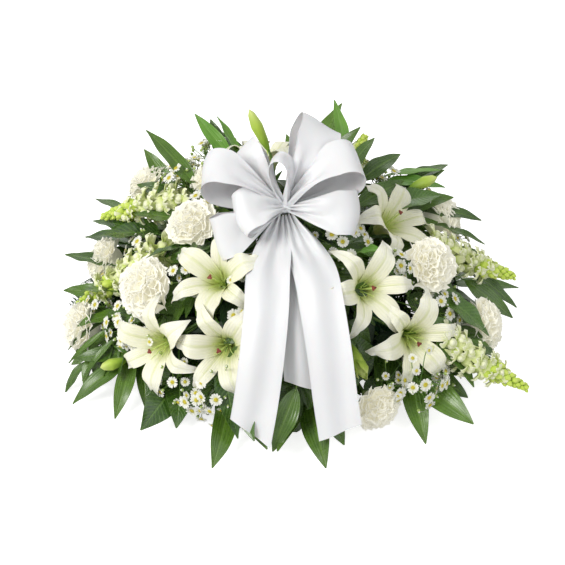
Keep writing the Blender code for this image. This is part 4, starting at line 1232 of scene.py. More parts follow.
LILIES = (
    Bloom("lily_1", (-0.100, -0.115, 0.208), (-30, 52), 20),
    Bloom("lily_2", (-0.190, -0.170, 0.118), (-38, 20), 10),
    Bloom("lily_3", (-0.087, -0.200, 0.140), (-14, 28), 0),
    Bloom("lily_4", (0.130, -0.130, 0.198), (32, 38), 10),
    Bloom("lily_5", (0.175, 0.020, 0.212), (66, 48), 36),
    Bloom("lily_6", (0.198, -0.160, 0.125), (24, 28), 0),
    Bloom("lily_7", (-0.025, 0.130, 0.262), (180, 62), 0),
    Bloom("lily_8", (-0.120, 0.185, 0.140), (-150, 30), 15),
)

LILY_STEMS = (
    LilyStem("lily_stem_left", (-0.100, -0.085, 0.110), ("lily_1", "lily_2", "lily_3"),
             Bud((-0.272, -0.150, 0.060), (-65, 0), 0.042)),
    LilyStem("lily_stem_front_right", (0.105, -0.080, 0.115), ("lily_4", "lily_6"),
             Bud((0.118, -0.212, 0.100), (20, -10), 0.066, True)),
    LilyStem("lily_stem_right", (0.110, 0.025, 0.135), ("lily_5",),
             Bud((0.240, 0.105, 0.225), (95, 25), 0.048)),
    LilyStem("lily_stem_top", (-0.015, 0.060, 0.165), ("lily_7",),
             Bud((-0.082, 0.062, 0.292), (-75, 62), 0.058)),
    LilyStem("lily_stem_back", (-0.080, 0.085, 0.115), ("lily_8",),
             Bud((-0.030, 0.220, 0.120), (170, 10), 0.050)),
)

TOP_BUD = Bud((-0.050, 0.112, 0.346), (-120, 62), 0.072)

CARNATIONS = (
    Bloom("carnation_01", (-0.208, -0.095, 0.172), (-48, 42), size=1.10),
    Bloom("carnation_02", (-0.138, -0.006, 0.225), (-50, 60), size=1.00),
    Bloom("carnation_03", (-0.318, -0.055, 0.056), (-82, 12), size=1.02),
    Bloom("carnation_04", (-0.215, 0.150, 0.190), (-125, 40), size=0.92),
    Bloom("carnation_05", (-0.285, 0.040, 0.118), (-92, 26), size=0.90),
    Bloom("carnation_06", (-0.105, 0.105, 0.235), (-150, 62), size=1.00),
    Bloom("carnation_07", (0.258, 0.095, 0.165), (108, 30), size=0.95),
    Bloom("carnation_08", (0.228, -0.052, 0.182), (52, 46), size=1.02),
    Bloom("carnation_09", (0.318, -0.055, 0.060), (80, 14), size=1.05),
    Bloom("carnation_10", (0.140, -0.228, 0.046), (24, 4), size=0.90),
    Bloom("carnation_11", (0.060, 0.190, 0.150), (165, 34), size=1.00),
    Bloom("carnation_12", (0.180, 0.170, 0.095), (145, 18), size=0.96),
)

# The seeds in SPIKES, SPRAYS and GREENS are the solids' own, but for snapdragon_3's. Most or all of them
# were picked by a search for stems and flowers that stay clear of each other, and not by hand.
SPIKES = (
    Spike("snapdragon_1", (-0.165, 0.082, 0.195), (-0.280, 0.080, 0.168), 11),
    Spike("snapdragon_2", (-0.192, -0.025, 0.170), (-0.318, -0.020, 0.072), 90),
    Spike("snapdragon_3", (0.238, 0.015, 0.150), (0.358, 0.005, 0.108), 12),
    Spike("snapdragon_4", (0.245, -0.135, 0.090), (0.362, -0.178, 0.045), 81),
    Spike("snapdragon_5", (0.085, 0.100, 0.205), (0.128, 0.160, 0.262), 79),
)

SPRAYS = (
    Spray("aster_1", (-0.165, 0.120, 0.245), (-120, 60), 0.060, 5, 20),
    Spray("aster_2", (-0.130, 0.045, 0.232), (-60, 66), 0.050, 5, 34),
    Spray("aster_3", (-0.262, -0.105, 0.105), (-60, 25), 0.062, 5, 72),
    Spray("aster_4", (-0.112, -0.240, 0.076), (-25, 10), 0.050, 4, 24),
    Spray("aster_5", (0.100, -0.050, 0.226), (25, 55), 0.056, 5, 53),
    Spray("aster_6", (0.175, 0.100, 0.222), (110, 50), 0.062, 5, 25),
    Spray("aster_7", (0.262, -0.085, 0.120), (58, 32), 0.058, 5, 36),
    Spray("aster_8", (0.225, -0.215, 0.065), (38, 6), 0.054, 5, 14),
)

SMALL_SPRAYS = tuple(
    Spray(f"aster_small_{number:02d}", at, faces, width, heads, 100 + number)
    for number, at, faces, width, heads in (
        (1, (-0.118, 0.160, 0.262), (-152, 56), 0.046, 4),
        (2, (-0.172, 0.150, 0.226), (-141, 50), 0.044, 4),
        (3, (-0.052, -0.112, 0.222), (-17, 62), 0.026, 2),
        (4, (-0.066, -0.168, 0.176), (-14, 44), 0.026, 2),
        (5, (-0.292, 0.000, 0.094), (-86, 24), 0.040, 4),
        (6, (-0.178, -0.205, 0.078), (-36, 20), 0.040, 3),
        (7, (-0.138, -0.228, 0.060), (-27, 14), 0.034, 3),
        (8, (0.180, -0.075, 0.205), (63, 50), 0.030, 3),
        (9, (0.118, 0.165, 0.246), (149, 52), 0.044, 4),
        (10, (0.172, 0.140, 0.222), (138, 48), 0.044, 4),
        (11, (0.226, 0.120, 0.196), (125, 42), 0.042, 4),
        (12, (0.288, 0.078, 0.145), (110, 32), 0.040, 3),
        (13, (0.256, -0.125, 0.098), (58, 24), 0.038, 3),
        (14, (0.178, -0.212, 0.072), (37, 16), 0.036, 3),
        (15, (0.245, -0.178, 0.058), (50, 12), 0.034, 3),
        (16, (-0.235, 0.010, 0.175), (-92, 40), 0.040, 3),
        (18, (-0.300, -0.045, 0.095), (-80, 30), 0.036, 3),
        (19, (-0.235, -0.135, 0.120), (-55, 34), 0.034, 3),
        (17, (-0.155, -0.095, 0.200), (-45, 52), 0.030, 2),
    ))

PALM, SALAL, FERN = LeafKind.PALM, LeafKind.SALAL, LeafKind.FERN
GREENS = (
    Leafy("palm_front_left", PALM, (-0.078, -0.200, 0.048), (-12, -14), 6, 0.118, 0.019, 26),
    Leafy("palm_front_right", PALM, (0.038, -0.195, 0.045), (10, -12), 7, 0.122, 0.019, 41),
    Leafy("palm_corner_right", PALM, (0.200, -0.155, 0.045), (42, -8), 7, 0.115, 0.020, 31),
    Leafy("palm_right", PALM, (0.262, 0.032, 0.068), (95, -6), 8, 0.118, 0.017, 26),
    Leafy("palm_left", PALM, (-0.235, -0.125, 0.050), (-58, -8), 8, 0.100, 0.014, 89),
    Leafy("palm_top_right", PALM, (0.165, 0.095, 0.170), (122, 30), 7, 0.110, 0.018, 15),
    Leafy("palm_top", PALM, (0.050, 0.140, 0.210), (160, 46), 7, 0.115, 0.017, 36),
    Leafy("palm_back", PALM, (0.040, 0.190, 0.040), (172, -6), 7, 0.105, 0.018, 69),
    Leafy("salal_left", SALAL, (-0.235, 0.092, 0.105), (-103, 4), 6, 0.090, 0.024, 9),
    Leafy("salal_corner_left", SALAL, (-0.164, -0.180, 0.045), (-37, -10), 6, 0.088, 0.024, 64),
    Leafy("salal_top", SALAL, (-0.072, 0.150, 0.205), (-162, 50), 6, 0.095, 0.022, 35),
    Leafy("salal_back", SALAL, (-0.130, 0.180, 0.050), (-150, -4), 7, 0.090, 0.025, 26),
    Leafy("fern_left", FERN, (-0.215, 0.060, 0.070), (-98, 4), 3, 0.150, 0.045, 32),
    Leafy("fern_right", FERN, (0.168, 0.122, 0.066), (127, 6), 3, 0.150, 0.045, 12),
)

# A search made these rows, with their places, directions and seeds. They repeat the solids' own rows,
# and only the last value of the first two was chosen one by one.
SIDE_FRONDS = (
    Frond("palm_front_right", 0.006, (0.0, -0.07, 0.151), (0, 3), 0.135, 8, 20.0),
    Frond("palm_top", 0.006, (0.025, -0.024, 0.166), (33, 10), 0.135, 25, 34.0),
    Frond("palm_front_left", 0.006, (-0.089, -0.049, 0.151), (-43, 3), 0.135, 14),
    Frond("palm_top_right", 0.006, (0.126, -0.0, 0.151), (90, 3), 0.135, 13),
    Frond("palm_corner_right", 0.006, (0.039, -0.123, 0.087), (7, -6), 0.135, 8),
    Frond("salal_top", 0.006, (-0.049, 0.0, 0.166), (-90, 9), 0.135, 23),
    Frond("fern_right", 0.006, (0.136, 0.075, 0.12), (142, -3), 0.135, 1),
    Frond("palm_back", 0.006, (0.061, 0.12, 0.087), (169, -6), 0.135, 2),
    Frond("salal_back", 0.006, (-0.039, 0.123, 0.087), (-173, -6), 0.135, 19),
    Frond("fern_left", 0.006, (-0.132, 0.101, 0.087), (-153, -6), 0.135, 25),
    Frond("salal_corner_left", 0.006, (-0.061, -0.12, 0.087), (-11, -6), 0.135, 27),
    Frond("palm_right", 0.006, (0.198, -0.06, 0.087), (52, -7), 0.135, 19),
    Frond("fern_left", 0.022, (-0.226, 0.006, 0.087), (-94, -8), 0.135, 24),
    Frond("salal_top", 0.022, (-0.126, 0.0, 0.151), (-90, 3), 0.135, 4),
    Frond("palm_left", 0.006, (-0.208, -0.048, 0.087), (-59, -8), 0.135, 10),
)

ACCENTS = {
    "palm": (
        Accent((-0.135, 0.090, 0.220), (-128, 40), 0.115, 0.015, 10),
        Accent((-0.175, 0.120, 0.190), (-140, 38), 0.080, 0.013, 16),
        Accent((-0.225, 0.080, 0.160), (-118, 22), 0.080, 0.014, 20),
        Accent((-0.262, 0.015, 0.122), (-101, 14), 0.078, 0.013, 14),
        Accent((-0.272, -0.012, 0.086), (-98, 8), 0.070, 0.014, 18),
        Accent((-0.262, -0.088, 0.084), (-62, -20), 0.088, 0.0045, 40),
        Accent((-0.268, -0.070, 0.084), (-70, -14), 0.080, 0.0045, 45),
        Accent((-0.250, -0.105, 0.080), (-52, -20), 0.086, 0.0050, 40),
        Accent((0.215, 0.080, 0.180), (86, 6), 0.098, 0.013, 30),
        Accent((0.232, 0.060, 0.168), (80, -6), 0.088, 0.011, 20),
        Accent((0.185, 0.128, 0.190), (115, 20), 0.090, 0.014, 24),
        Accent((0.282, 0.002, 0.104), (62, -24), 0.098, 0.014, 20),
        Accent((0.285, 0.022, 0.112), (70, -26), 0.104, 0.013, 14),
        Accent((0.090, 0.080, 0.240), (140, 30), 0.090, 0.014, 20),
        Accent((-0.245, -0.030, 0.110), (-92, 12), 0.070, 0.015, 30),
        Accent((-0.240, -0.065, 0.090), (-84, 6), 0.075, 0.015, 30),
        Accent((0.236, 0.020, 0.130), (98, 14), 0.080, 0.014, 30),
        Accent((0.120, 0.095, 0.225), (120, 30), 0.080, 0.015, 30),
        Accent((-0.225, -0.022, 0.062), (-90, 0), 0.085, 0.018, 10),
        Accent((-0.215, -0.050, 0.060), (-80, -4), 0.085, 0.018, 10),
        Accent((-0.150, 0.040, 0.190), (-100, 10), 0.080, 0.017, 20),
        Accent((-0.155, 0.085, 0.190), (-112, 20), 0.080, 0.016, 20),
        Accent((0.026, 0.085, 0.232), (176, 50), 0.086, 0.018, 12),
        Accent((0.045, 0.080, 0.232), (160, 48), 0.086, 0.017, 16),
        Accent((0.112, 0.048, 0.212), (110, 26), 0.085, 0.016, 20),
        Accent((-0.085, 0.125, 0.232), (-150, 46), 0.080, 0.013, 16),
        Accent((0.020, -0.232, 0.096), (-26, -34), 0.098, 0.017, 24),
        Accent((0.050, -0.230, 0.092), (32, -34), 0.090, 0.016, 22),
    ),
    "salal": (
        Accent((-0.190, 0.030, 0.172), (-93, 4), 0.108, 0.024, 16),
        Accent((-0.215, 0.060, 0.152), (-110, 10), 0.090, 0.022, 22),
        Accent((0.218, -0.108, 0.122), (46, -26), 0.124, 0.024, 26),
        Accent((0.240, -0.060, 0.125), (66, -20), 0.096, 0.022, 26),
        Accent((-0.085, -0.198, 0.108), (10, -34), 0.108, 0.018, 26),
        Accent((0.170, 0.060, 0.205), (105, 14), 0.080, 0.020, 24),
        Accent((-0.175, 0.072, 0.176), (-100, 14), 0.085, 0.022, 20),
        Accent((-0.190, 0.050, 0.160), (-90, 4), 0.080, 0.022, 20),
        Accent((0.126, 0.072, 0.200), (92, 18), 0.075, 0.020, 20),
    ),
    "bright": (
        Accent((-0.078, 0.120, 0.248), (-126, 38), 0.092, 0.012, 8),
        Accent((-0.066, 0.128, 0.250), (-140, 46), 0.070, 0.009, 8),
        Accent((0.100, 0.150, 0.232), (-165, 48), 0.092, 0.012, 6),
        Accent((0.115, -0.062, 0.212), (50, 42), 0.042, 0.009, 20),
        Accent((0.165, 0.125, 0.205), (86, 2), 0.092, 0.013, 18),
        Accent((0.160, 0.135, 0.205), (100, 8), 0.090, 0.010, 12),
    ),
}

LOOPS = (
    Loop(66, 14, 0.135, 0.024, 20),
    Loop(30, 24, 0.132, 0.026, -30),
    Loop(-8, 16, 0.108, 0.022, 20),
    Loop(158, 20, 0.132, 0.026, 25),
    Loop(128, -4, 0.112, 0.020, -10),
    Loop(198, 34, 0.080, 0.018, 10),
    Loop(207, 6, 0.112, 0.020, -20),
    Loop(96, 44, 0.085, 0.014, 70, 0.040),
)

TAILS = {
    "bow_tail_left": [(-0.0026, -0.0393, 0.2604), (-0.012, -0.080, 0.240), (-0.0205, -0.128, 0.226),
                      (-0.023, -0.178, 0.198), (-0.029, -0.222, 0.152), (-0.037, -0.256, 0.100),
                      (-0.046, -0.284, 0.056)],
    "bow_tail_middle": [(0.003, -0.0352, 0.2580), (0.012, -0.075, 0.226), (0.016, -0.122, 0.212),
                        (0.022, -0.168, 0.184), (0.030, -0.205, 0.140), (0.036, -0.232, 0.096)],
    "bow_tail_right": [(0.0090, -0.0380, 0.2606), (0.028, -0.080, 0.240), (0.047, -0.128, 0.226),
                       (0.057, -0.178, 0.198), (0.067, -0.222, 0.152), (0.075, -0.256, 0.100),
                       (0.083, -0.282, 0.056)],
}
TAIL_SLANTS = {"bow_tail_left": 0.016, "bow_tail_middle": 0.014, "bow_tail_right": -0.008}


@dataclass(frozen=True)
class Footing:
    """How stems stand in the foam block.

    Args:
        heart_height: the height that stems run from.
        heart_share: how far that point goes along with the stem's tip.
        heart_limit: the furthest that it goes from the middle.
        depth: how deep a stem stands in the foam.
        free: how far it runs straight outside.
    """

    heart_height: float = 0.062
    heart_share: float = 0.50
    heart_limit: float = 0.145
    depth: float = 0.026
    free: float = 0.010

    def heart(self, tip: Vector) -> Vector:
        """The point in the foam that a stem to this tip comes from."""
        limit = self.heart_limit
        return Vector((max(-limit, min(limit, tip.x * self.heart_share)), 0, self.heart_height))

    def path(self, tip: Vector, arrival: Vector, count: int = 3) -> list[Vector]:
        """A stem's line from inside the foam to its tip.

        Args:
            tip: its end.
            arrival: the direction that it has there.
            count: points on its free part.

        Returns:
            The line.
        """
        low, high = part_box("foam")
        heart = self.heart(tip)
        out = (tip - heart).normalized()
        reach = min(((high[i] if out[i] > 0 else low[i]) - heart[i]) / out[i]
                    for i in range(3) if abs(out[i]) > 1e-6)
        start, free = heart + out * (reach - self.depth), heart + out * (reach + self.free)
        pull = 0.35 * (tip - free).length
        return [start, *bezier(free, free + out * pull, tip - arrival * pull, tip, count)]

    def line(self, tip: Vector, arrival: Vector) -> list[Vector]:
        """The rounded line of a stem."""
        return smooth_line(self.path(tip, arrival), 5)


FOOTING = Footing()


# Leaves


@dataclass(frozen=True)
class LeafShape:
    """How a leaf blade is made.

    Args:
        kind: the kind of leaf.
        rows: sections along it.
        columns: points across it.
        thick: its thickness.
        keel: how much its edges stand above its midrib, as a share of its width.
        ripple: how much its edges wave, as a share of its width.
    """

    kind: LeafKind
    rows: int = 18
    columns: int = 7
    thick: float = 0.0007
    keel: float = 0.22
    ripple: float = 0.10

    def width(self, t: np.ndarray) -> np.ndarray:
        """The half-width along the leaf, as a share of the widest."""
        if self.kind is PALM:
            return np.sin(math.pi * np.clip(t, 0, 1) ** 0.80) ** 0.85
        return np.sin(math.pi * np.clip(t, 0, 1) ** 0.62) ** 0.90

    def blade(self, base: Vector, along: Vector, face: Vector, length: float, half_width: float,
              droop: float, rng: random.Random, tone: float | None = None) -> Patch:
        """A blade that springs from a base and bends away from its face.

        Args:
            base: where it springs.
            along: the way it runs there.
            face: the side that its upper face is on.
            length: its length.
            half_width: half of its widest.
            droop: how far it bends, in degrees.
            rng: draws its waves and twist.
            tone: its shade, or drawn.

        Returns:
            The blade.
        """
        across, face = squared(along, face)
        bend = max(math.radians(droop), 0.01) / length
        t = np.linspace(0.0, 0.997, self.rows)[:, None]
        v = np.linspace(-1, 1, self.columns)[None, :]
        run = t * length
        x, f, a = (np.array(d) for d in (along, face, across))
        centre = np.array(base) + x * (np.sin(bend * run) / bend)[..., None]
        centre = centre - f * ((1 - np.cos(bend * run)) / bend)[..., None]
        normal = f * np.cos(bend * run)[..., None] + x * np.sin(bend * run)[..., None]
        wide = np.maximum(half_width * np.clip(self.width(t), 0, 1), 0.0009)
        phases = rng.uniform(0, math.tau), rng.uniform(0, math.tau)
        twist = rng.uniform(-0.35, 0.35) * t**1.5
        wave = np.where(v < 0, np.sin(t * 14 + phases[0]), np.sin(t * 12 + phases[1]))
        lift = self.keel * wide * np.abs(v) ** 1.5 + self.ripple * wide * wave * v * v
        side = wide * v
        sway = rng.uniform(-0.04, 0.04) * length * t**2
        over = side * np.cos(twist) - lift * np.sin(twist) + sway
        up = side * np.sin(twist) + lift * np.cos(twist)
        grid = centre + a * over[..., None] + normal * up[..., None]
        return slab(grid, self.thick, rng.random() if tone is None else tone)


@dataclass(frozen=True)
class FernShape:
    """How a leatherleaf fern frond is made.

    Args:
        pairs: leaflets on each side.
        teeth: teeth on each side of a leaflet.
        thick: the blade's thickness.
        lean: how far the leaflets point forwards, in degrees from square.
    """

    pairs: int = 13
    teeth: int = 7
    thick: float = 0.0006
    lean: float = 32.0

    def leaflet(self, rng: random.Random) -> Patch:
        """One leaflet of length 1 along X, cut into teeth, its face towards Y."""
        count = 2 * self.teeth + 1
        t = np.linspace(0, 1, count)
        wide = 0.17 * (1 - t) ** 0.55 + 0.012
        wide[1::2] *= rng.uniform(0.30, 0.40)
        wide[0] = 0.02
        grid = np.zeros((count, 3, 3))
        forward = np.where(np.arange(count) % 2 == 0, 0.05, 0.0) * (t > 0)
        for column, side in enumerate((-1, 0, 1)):
            grid[:, column, 0] = t + forward * abs(side)
            grid[:, column, 2] = wide * side
            grid[:, column, 1] = -0.05 * abs(side) + 0.12 * t * t
        return slab(grid, self.thick / 0.04)

    def frond(self, growth: Growth, base: Vector, along: Vector, face: Vector, length: float,
              half_width: float, droop: float, rng: random.Random) -> Patch:
        """A whole frond: leaflets on a rib that bends away from its face.

        Args:
            growth: runs the whorl.
            base: where it springs.
            along: the way it runs there.
            face: the side that its upper face is on.
            length: its length.
            half_width: half of its widest.
            droop: how far it bends, in degrees.
            rng: draws its leaflets.

        Returns:
            The frond.
        """
        flat = growth.whorl([self.leaflet(rng) for _ in range(3)], "fern_leaf", count=2 * self.pairs,
                            turn=math.pi, first_size=half_width * 1.10, last_size=half_width * 0.16,
                            first_lean=math.radians(self.lean), last_lean=math.radians(self.lean + 22),
                            first_reach=0.0008, last_reach=0.0004, first_height=0.13 * length,
                            last_height=0.975 * length, power=0.92, jitter=0.06, seed=rng.randrange(9999))
        rib = tube([Vector((0, 0, length * k / 8)) for k in range(9)],
                   [0.0011 * (1 - 0.75 * k / 8) for k in range(9)], 5)
        whole = joined([flat, rib])
        across, face = squared(along, face)
        bend = max(math.radians(droop), 0.01) / length
        side, out, run = whole.points.T
        x, f, a = (np.array(d) for d in (along, face, across))
        arch = -0.10 * np.abs(side)
        where = np.array(base) + np.outer(np.sin(bend * run) / bend, x)
        where -= np.outer((1 - np.cos(bend * run)) / bend, f)
        normal = np.outer(np.cos(bend * run), f) + np.outer(np.sin(bend * run), x)
        whole.points = where + np.outer(side, a) + normal * (out + arch)[:, None]
        return whole.toned(rng.random())


class Greenery:
    """The leafy stems and fern fronds."""

    def __init__(self, growth: Growth) -> None:
        """Gets the shapes of the leaves ready."""
        self.growth = growth
        self.shapes = {kind: LeafShape(kind) for kind in (PALM, SALAL)}

    def leaves(self, plan: Leafy, path: list[Vector]) -> list[tuple[Any, ...]]:
        """Where each leaf springs, how it runs, and its size and droop, as its solid does.

        Args:
            plan: the leafy stem.
            path: its line.

        Returns:
            For each leaf its share of the stem, direction, face, length, half-width, droop.
        """
        rng = random.Random(plan.seed)
        whole = sum((b - a).length for a, b in zip(path, path[1:]))
        first = (FOOTING.depth + FOOTING.free + 0.005) / whole
        found = []
        for i in range(plan.leaves):
            share = i / max(1, plan.leaves - 1)
            where = first + (0.995 - first) * share
            at, run = along_line(path, where)
            away = (at - Vector((at.x * 0.6, 0, 0.0))).normalized()
            up = (away - run * away.dot(run)).normalized()
            side = run.cross(up) * (1 if i % 2 else -1)
            last = i == plan.leaves - 1
            splay = math.radians(rng.uniform(-8, 8) if last else rng.uniform(34, 62) - 14 * share)
            lift = math.radians(rng.uniform(-10, 16))
            out = round_about(round_about(run, side, splay), up, lift).normalized()
            face = (up + side * rng.uniform(-0.35, 0.15)).normalized()
            length = plan.length * rng.uniform(0.86, 1.08)
            half_width, droop = plan.half_width * rng.uniform(0.9, 1.1), rng.uniform(12, 45)
            while self.lowest(at, out, face, length, droop) < 0.003 + 0.15 * half_width and out.z < 0.6:
                out, droop = (out + Vector((0, 0, 0.05))).normalized(), max(4.0, droop - 3.0)
            found.append((where, out, face, length, half_width, droop))
        return found

    def side_frond(self, plan: Frond, host: Leafy, path: list[Vector]) -> Patch:
        """A frond on a side shoot, with leaflets of its stem's own kind.

        Args:
            plan: the frond.
            host: the leafy stem that it branches off.
            path: the line of that stem.

        Returns:
            The frond, its stalk included.
        """
        rng = random.Random(plan.seed)
        bearing, rise = plan.runs
        along = heading(bearing + rng.uniform(-25, 25), rise + rng.uniform(-22, 22))
        side, up = axes(along)
        roll = math.radians(rng.uniform(-35, 35))
        face = round_about(up, side, roll)
        droop, half_width = rng.uniform(15, 70) + plan.sag, plan.length * rng.uniform(0.30, 0.38)
        foot = path[1] + (path[2] - path[1]).normalized() * plan.up
        base = Vector(plan.at)
        stalk = tube(bezier(foot, foot.lerp(base, 0.4), base - along * 0.02, base, 7),
                     [0.0016, 0.0015, 0.0014, 0.0013, 0.0012, 0.0011, 0.0011], 6)
        if host.kind is FERN:
            return joined([FernShape().frond(self.growth, base, along, face, plan.length, half_width,
                                             droop, rng), stalk])
        across, face = squared(along, face)
        bend = math.radians(droop) / plan.length
        pairs, wide = (7, 0.0085) if host.kind is PALM else (5, 0.0135)
        shape = LeafShape(host.kind, 14, 7)
        parts, line = [stalk], []
        for i in range(pairs + 1):
            t = 0.10 + 0.82 * i / pairs
            run = t * plan.length
            normal = round_about(face, along, bend * run)
            ahead = across.cross(normal) * -1
            at = bent(base, along, face, bend, run)
            line.append(at)
            if i == pairs:
                parts.append(shape.blade(at, ahead, normal, 0.42 * plan.length, wide, 18, rng))
                break
            reach = half_width * (1 - t) ** 0.6 * min(1.0, 0.6 + 2.2 * t)
            for way in (-1, 1):
                splay = math.radians(rng.uniform(44, 56) - 16 * t)
                out = round_about(ahead, across, way * splay)
                turned = (normal + across * rng.uniform(-0.3, 0.3)).normalized()
                length = reach / math.sin(splay) * 1.12 + 0.012
                parts.append(shape.blade(at, out, turned, length, wide, rng.uniform(12, 40), rng))
        parts.append(tube([base, *line], [0.0012] + [0.0010] * pairs + [0.0006], 5))
        return joined(parts)

    @staticmethod
    def lowest(root: Vector, out: Vector, face: Vector, length: float, droop: float) -> float:
        """The lowest height that a leaf's rib reaches."""
        face = (face - out * face.dot(out)).normalized()
        bend = math.radians(droop) / length
        return min(bent(root, out, face, bend, t * length).z for t in (0.33, 0.66, 1.0))

    def build(self) -> None:
        """Makes a piece for each leafy stem."""
        for plan in GREENS:
            rng = random.Random(plan.seed * 7 + 1)
            path = FOOTING.path(Vector(plan.tip), heading(*plan.runs))
            line = smooth_line(path, 5)
            piece = Piece(self.growth, plan.name + "_look", plan.kind.value + "_green", [plan.name])
            piece.stems([(line, (0.0025, 0.0022, 0.0015))])
            finish = plan.kind.value + "_leaf"
            for where, *given in self.leaves(plan, path):
                root = along_line(line, where)[0]
                if plan.kind is FERN:
                    piece.add(FernShape().frond(self.growth, root, *given, rng), finish)
                else:
                    piece.add(self.shapes[plan.kind].blade(root, *given, rng), finish)
            for frond in SIDE_FRONDS:
                if frond.stem == plan.name:
                    piece.add(self.side_frond(frond, plan, path), finish)
            piece.build()


@dataclass
class Clearance:
    """The room in front of the blooms and the ribbon that filler leaves keep out of.

    Args:
        lily: how far the room before a lily reaches, and its radius.
        throat: the same behind its face.
        carnation: the same before a carnation.
        spike: the radius of the room round a snapdragon.
        ribbon: the radius of the room along a tail or a loop.
        over: how far the room along a tail lies above it.
        zones: rounded rods, each with its two ends and its radius.
    """

    lily: Aim = (0.070, 0.054)
    throat: Aim = (0.040, 0.024)
    carnation: Aim = (0.040, 0.038)
    spike: float = 0.022
    ribbon: float = 0.034
    over: float = 0.024
    zones: list[tuple[Vector, Vector, float]] = field(default_factory=list)

    def gather(self) -> "Clearance":
        """Adds a zone for each lily, carnation, snapdragon, tail and loop."""
        for bloom in LILIES:
            at, (far, radius) = Vector(bloom.at), self.lily
            self.zones.append((at, at + bloom.axis() * far, radius))
            self.zones.append((bloom.base(self.throat[0]), at, self.throat[1]))
        for bloom in CARNATIONS:
            at, (far, radius) = Vector(bloom.at), self.carnation
            self.zones.append((at, at + bloom.axis() * far, radius))
        for spike in SPIKES:
            self.zones.append((Vector(spike.low), Vector(spike.tip), self.spike))
        for points in TAILS.values():
            for a, b in zip(points, points[1:]):
                lift = Vector((1, 0, 0)).cross(Vector(b) - Vector(a)).normalized() * -self.over
                self.zones.append((Vector(a) + lift, Vector(b) + lift, self.ribbon))
        bow = Bow()
        for loop in LOOPS:
            reach = bow.way(loop) * loop.length * 0.85
            self.zones.append((Vector(bow.knot), Vector(bow.knot) + reach, self.ribbon))
        return self

    def clear(self, patch: Patch, size: int) -> Patch:
        """The patch without the leaves that reach into a zone, each leaf being so many points."""
        inside = np.zeros(len(patch.points), bool)
        for a, b, radius in self.zones:
            start, run = np.array(a), np.array(b - a)
            share = np.clip((patch.points - start) @ run / (run @ run), 0, 1)
            inside |= np.linalg.norm(patch.points - start - share[:, None] * run, axis=1) < radius
        leaf = np.arange(len(patch.points)) // size
        kept = ~np.isin(leaf, np.unique(leaf[inside]))
        number = np.cumsum(kept) - 1
        faces = [tuple(int(number[i]) for i in face) for face in patch.faces if kept[face[0]]]
        return Patch(patch.points[kept], faces, patch.uv[kept], patch.under[kept], patch.tone[kept])


@dataclass(frozen=True)
class Filler:
    """The greens that fill the spray between the flowers.

    Args:
        reach: the mound's half-length, half-depth and height.
        rim: where its lower rim lies, as an angle above the level.
        stalk: how far a leaf's stalk goes down towards the foam.
        density: the most leaves on a square metre.
        swing: how far a leaf turns from straight outwards, in radians.
        sizes: the smallest and the largest leaf against the usual one.
    """

    reach: Place = (0.275, 0.212, 0.210)
    rim: float = 0.28
    stalk: float = 0.105
    density: float = 2600.0
    swing: float = 1.25
    sizes: Aim = (0.75, 1.10)

    def mound(self, share: float) -> Patch:
        """The surface that the filler leaves spring from, over the foam, at a share of the reach."""
        rows, columns = 14, 48
        points, uv, faces = [], [], []
        for i in range(rows):
            up = self.rim + (math.pi / 2 - 0.04 - self.rim) * i / (rows - 1)
            for k in range(columns):
                a = math.tau * k / columns
                points.append((self.reach[0] * math.cos(up) * math.cos(a),
                               self.reach[1] * math.cos(up) * math.sin(a), self.reach[2] * math.sin(up)))
                uv.append((k / columns, i / rows))
        for i in range(rows - 1):
            for k in range(columns):
                a, b = i * columns + k, i * columns + (k + 1) % columns
                faces.append((a, b, b + columns, a + columns))
        faces.append(tuple((rows - 1) * columns + k for k in range(columns)))
        count = len(points)
        return Patch(np.array(points) * share, faces, np.array(uv), np.zeros(count), np.zeros(count))

    def stalked(self, shape: LeafShape, length: float, half_width: float, droop: float,
                rng: random.Random) -> Patch:
        """A leaf along X with a stalk that goes down Z towards the foam."""
        x, z = Vector((1, 0, 0)), Vector((0, 0, 1))
        blade = shape.blade(Vector((0.004, 0, 0)), x, z, length, half_width, droop, rng)
        stalk = tube([Vector((0.006, 0, 0)), Vector((-0.002, 0, -0.006)), Vector((-0.004, 0, -self.stalk))],
                     [0.0008, 0.0010, 0.0013], 4)
        return joined([blade, stalk])

    def build(self, growth: Growth) -> None:
        """Makes a piece for each kind of filler leaf."""
        keep_out = Clearance().gather()
        palm = LeafShape(PALM, 10, 5)
        salal = LeafShape(SALAL, 9, 5)
        plans = (
            ("filler_palm", palm, "palm_leaf", "palm_green", (0.085, 0.014), 0.026, 3, (0.05, 0.75), 1.0),
            ("filler_salal", salal, "salal_leaf", "salal_green", (0.066, 0.020), 0.030, 8, (0.0, 0.60), 0.95),
            ("filler_dark", palm, "fern_leaf", "fern_green", (0.074, 0.013), 0.020, 21, (-0.05, 0.50), 0.80),
        )
        for name, shape, finish, slot, (length, wide), spacing, seed, lift, share in plans:
            rng = random.Random(seed)
            parts = [self.stalked(shape, length * rng.uniform(0.85, 1.15), wide * rng.uniform(0.85, 1.15),
                                  rng.uniform(15, 50), rng) for _ in range(5)]
            patch = growth.scatter(self.mound(share), parts, finish, spacing=spacing,
                                   density=self.density, swing=self.swing, low_lift=lift[0],
                                   high_lift=lift[1], smallest=self.sizes[0], largest=self.sizes[1],
                                   seed=seed)
            size = len(parts[0].points)
            cleared = keep_out.clear(patch, size)
            LOG.info("%s: %d leaves, %d after clearing the blooms", name, len(patch.points) // size,
                     len(cleared.points) // size)
            piece = Piece(growth, name, slot)
            piece.add(cleared.settled(), finish)
            piece.build()


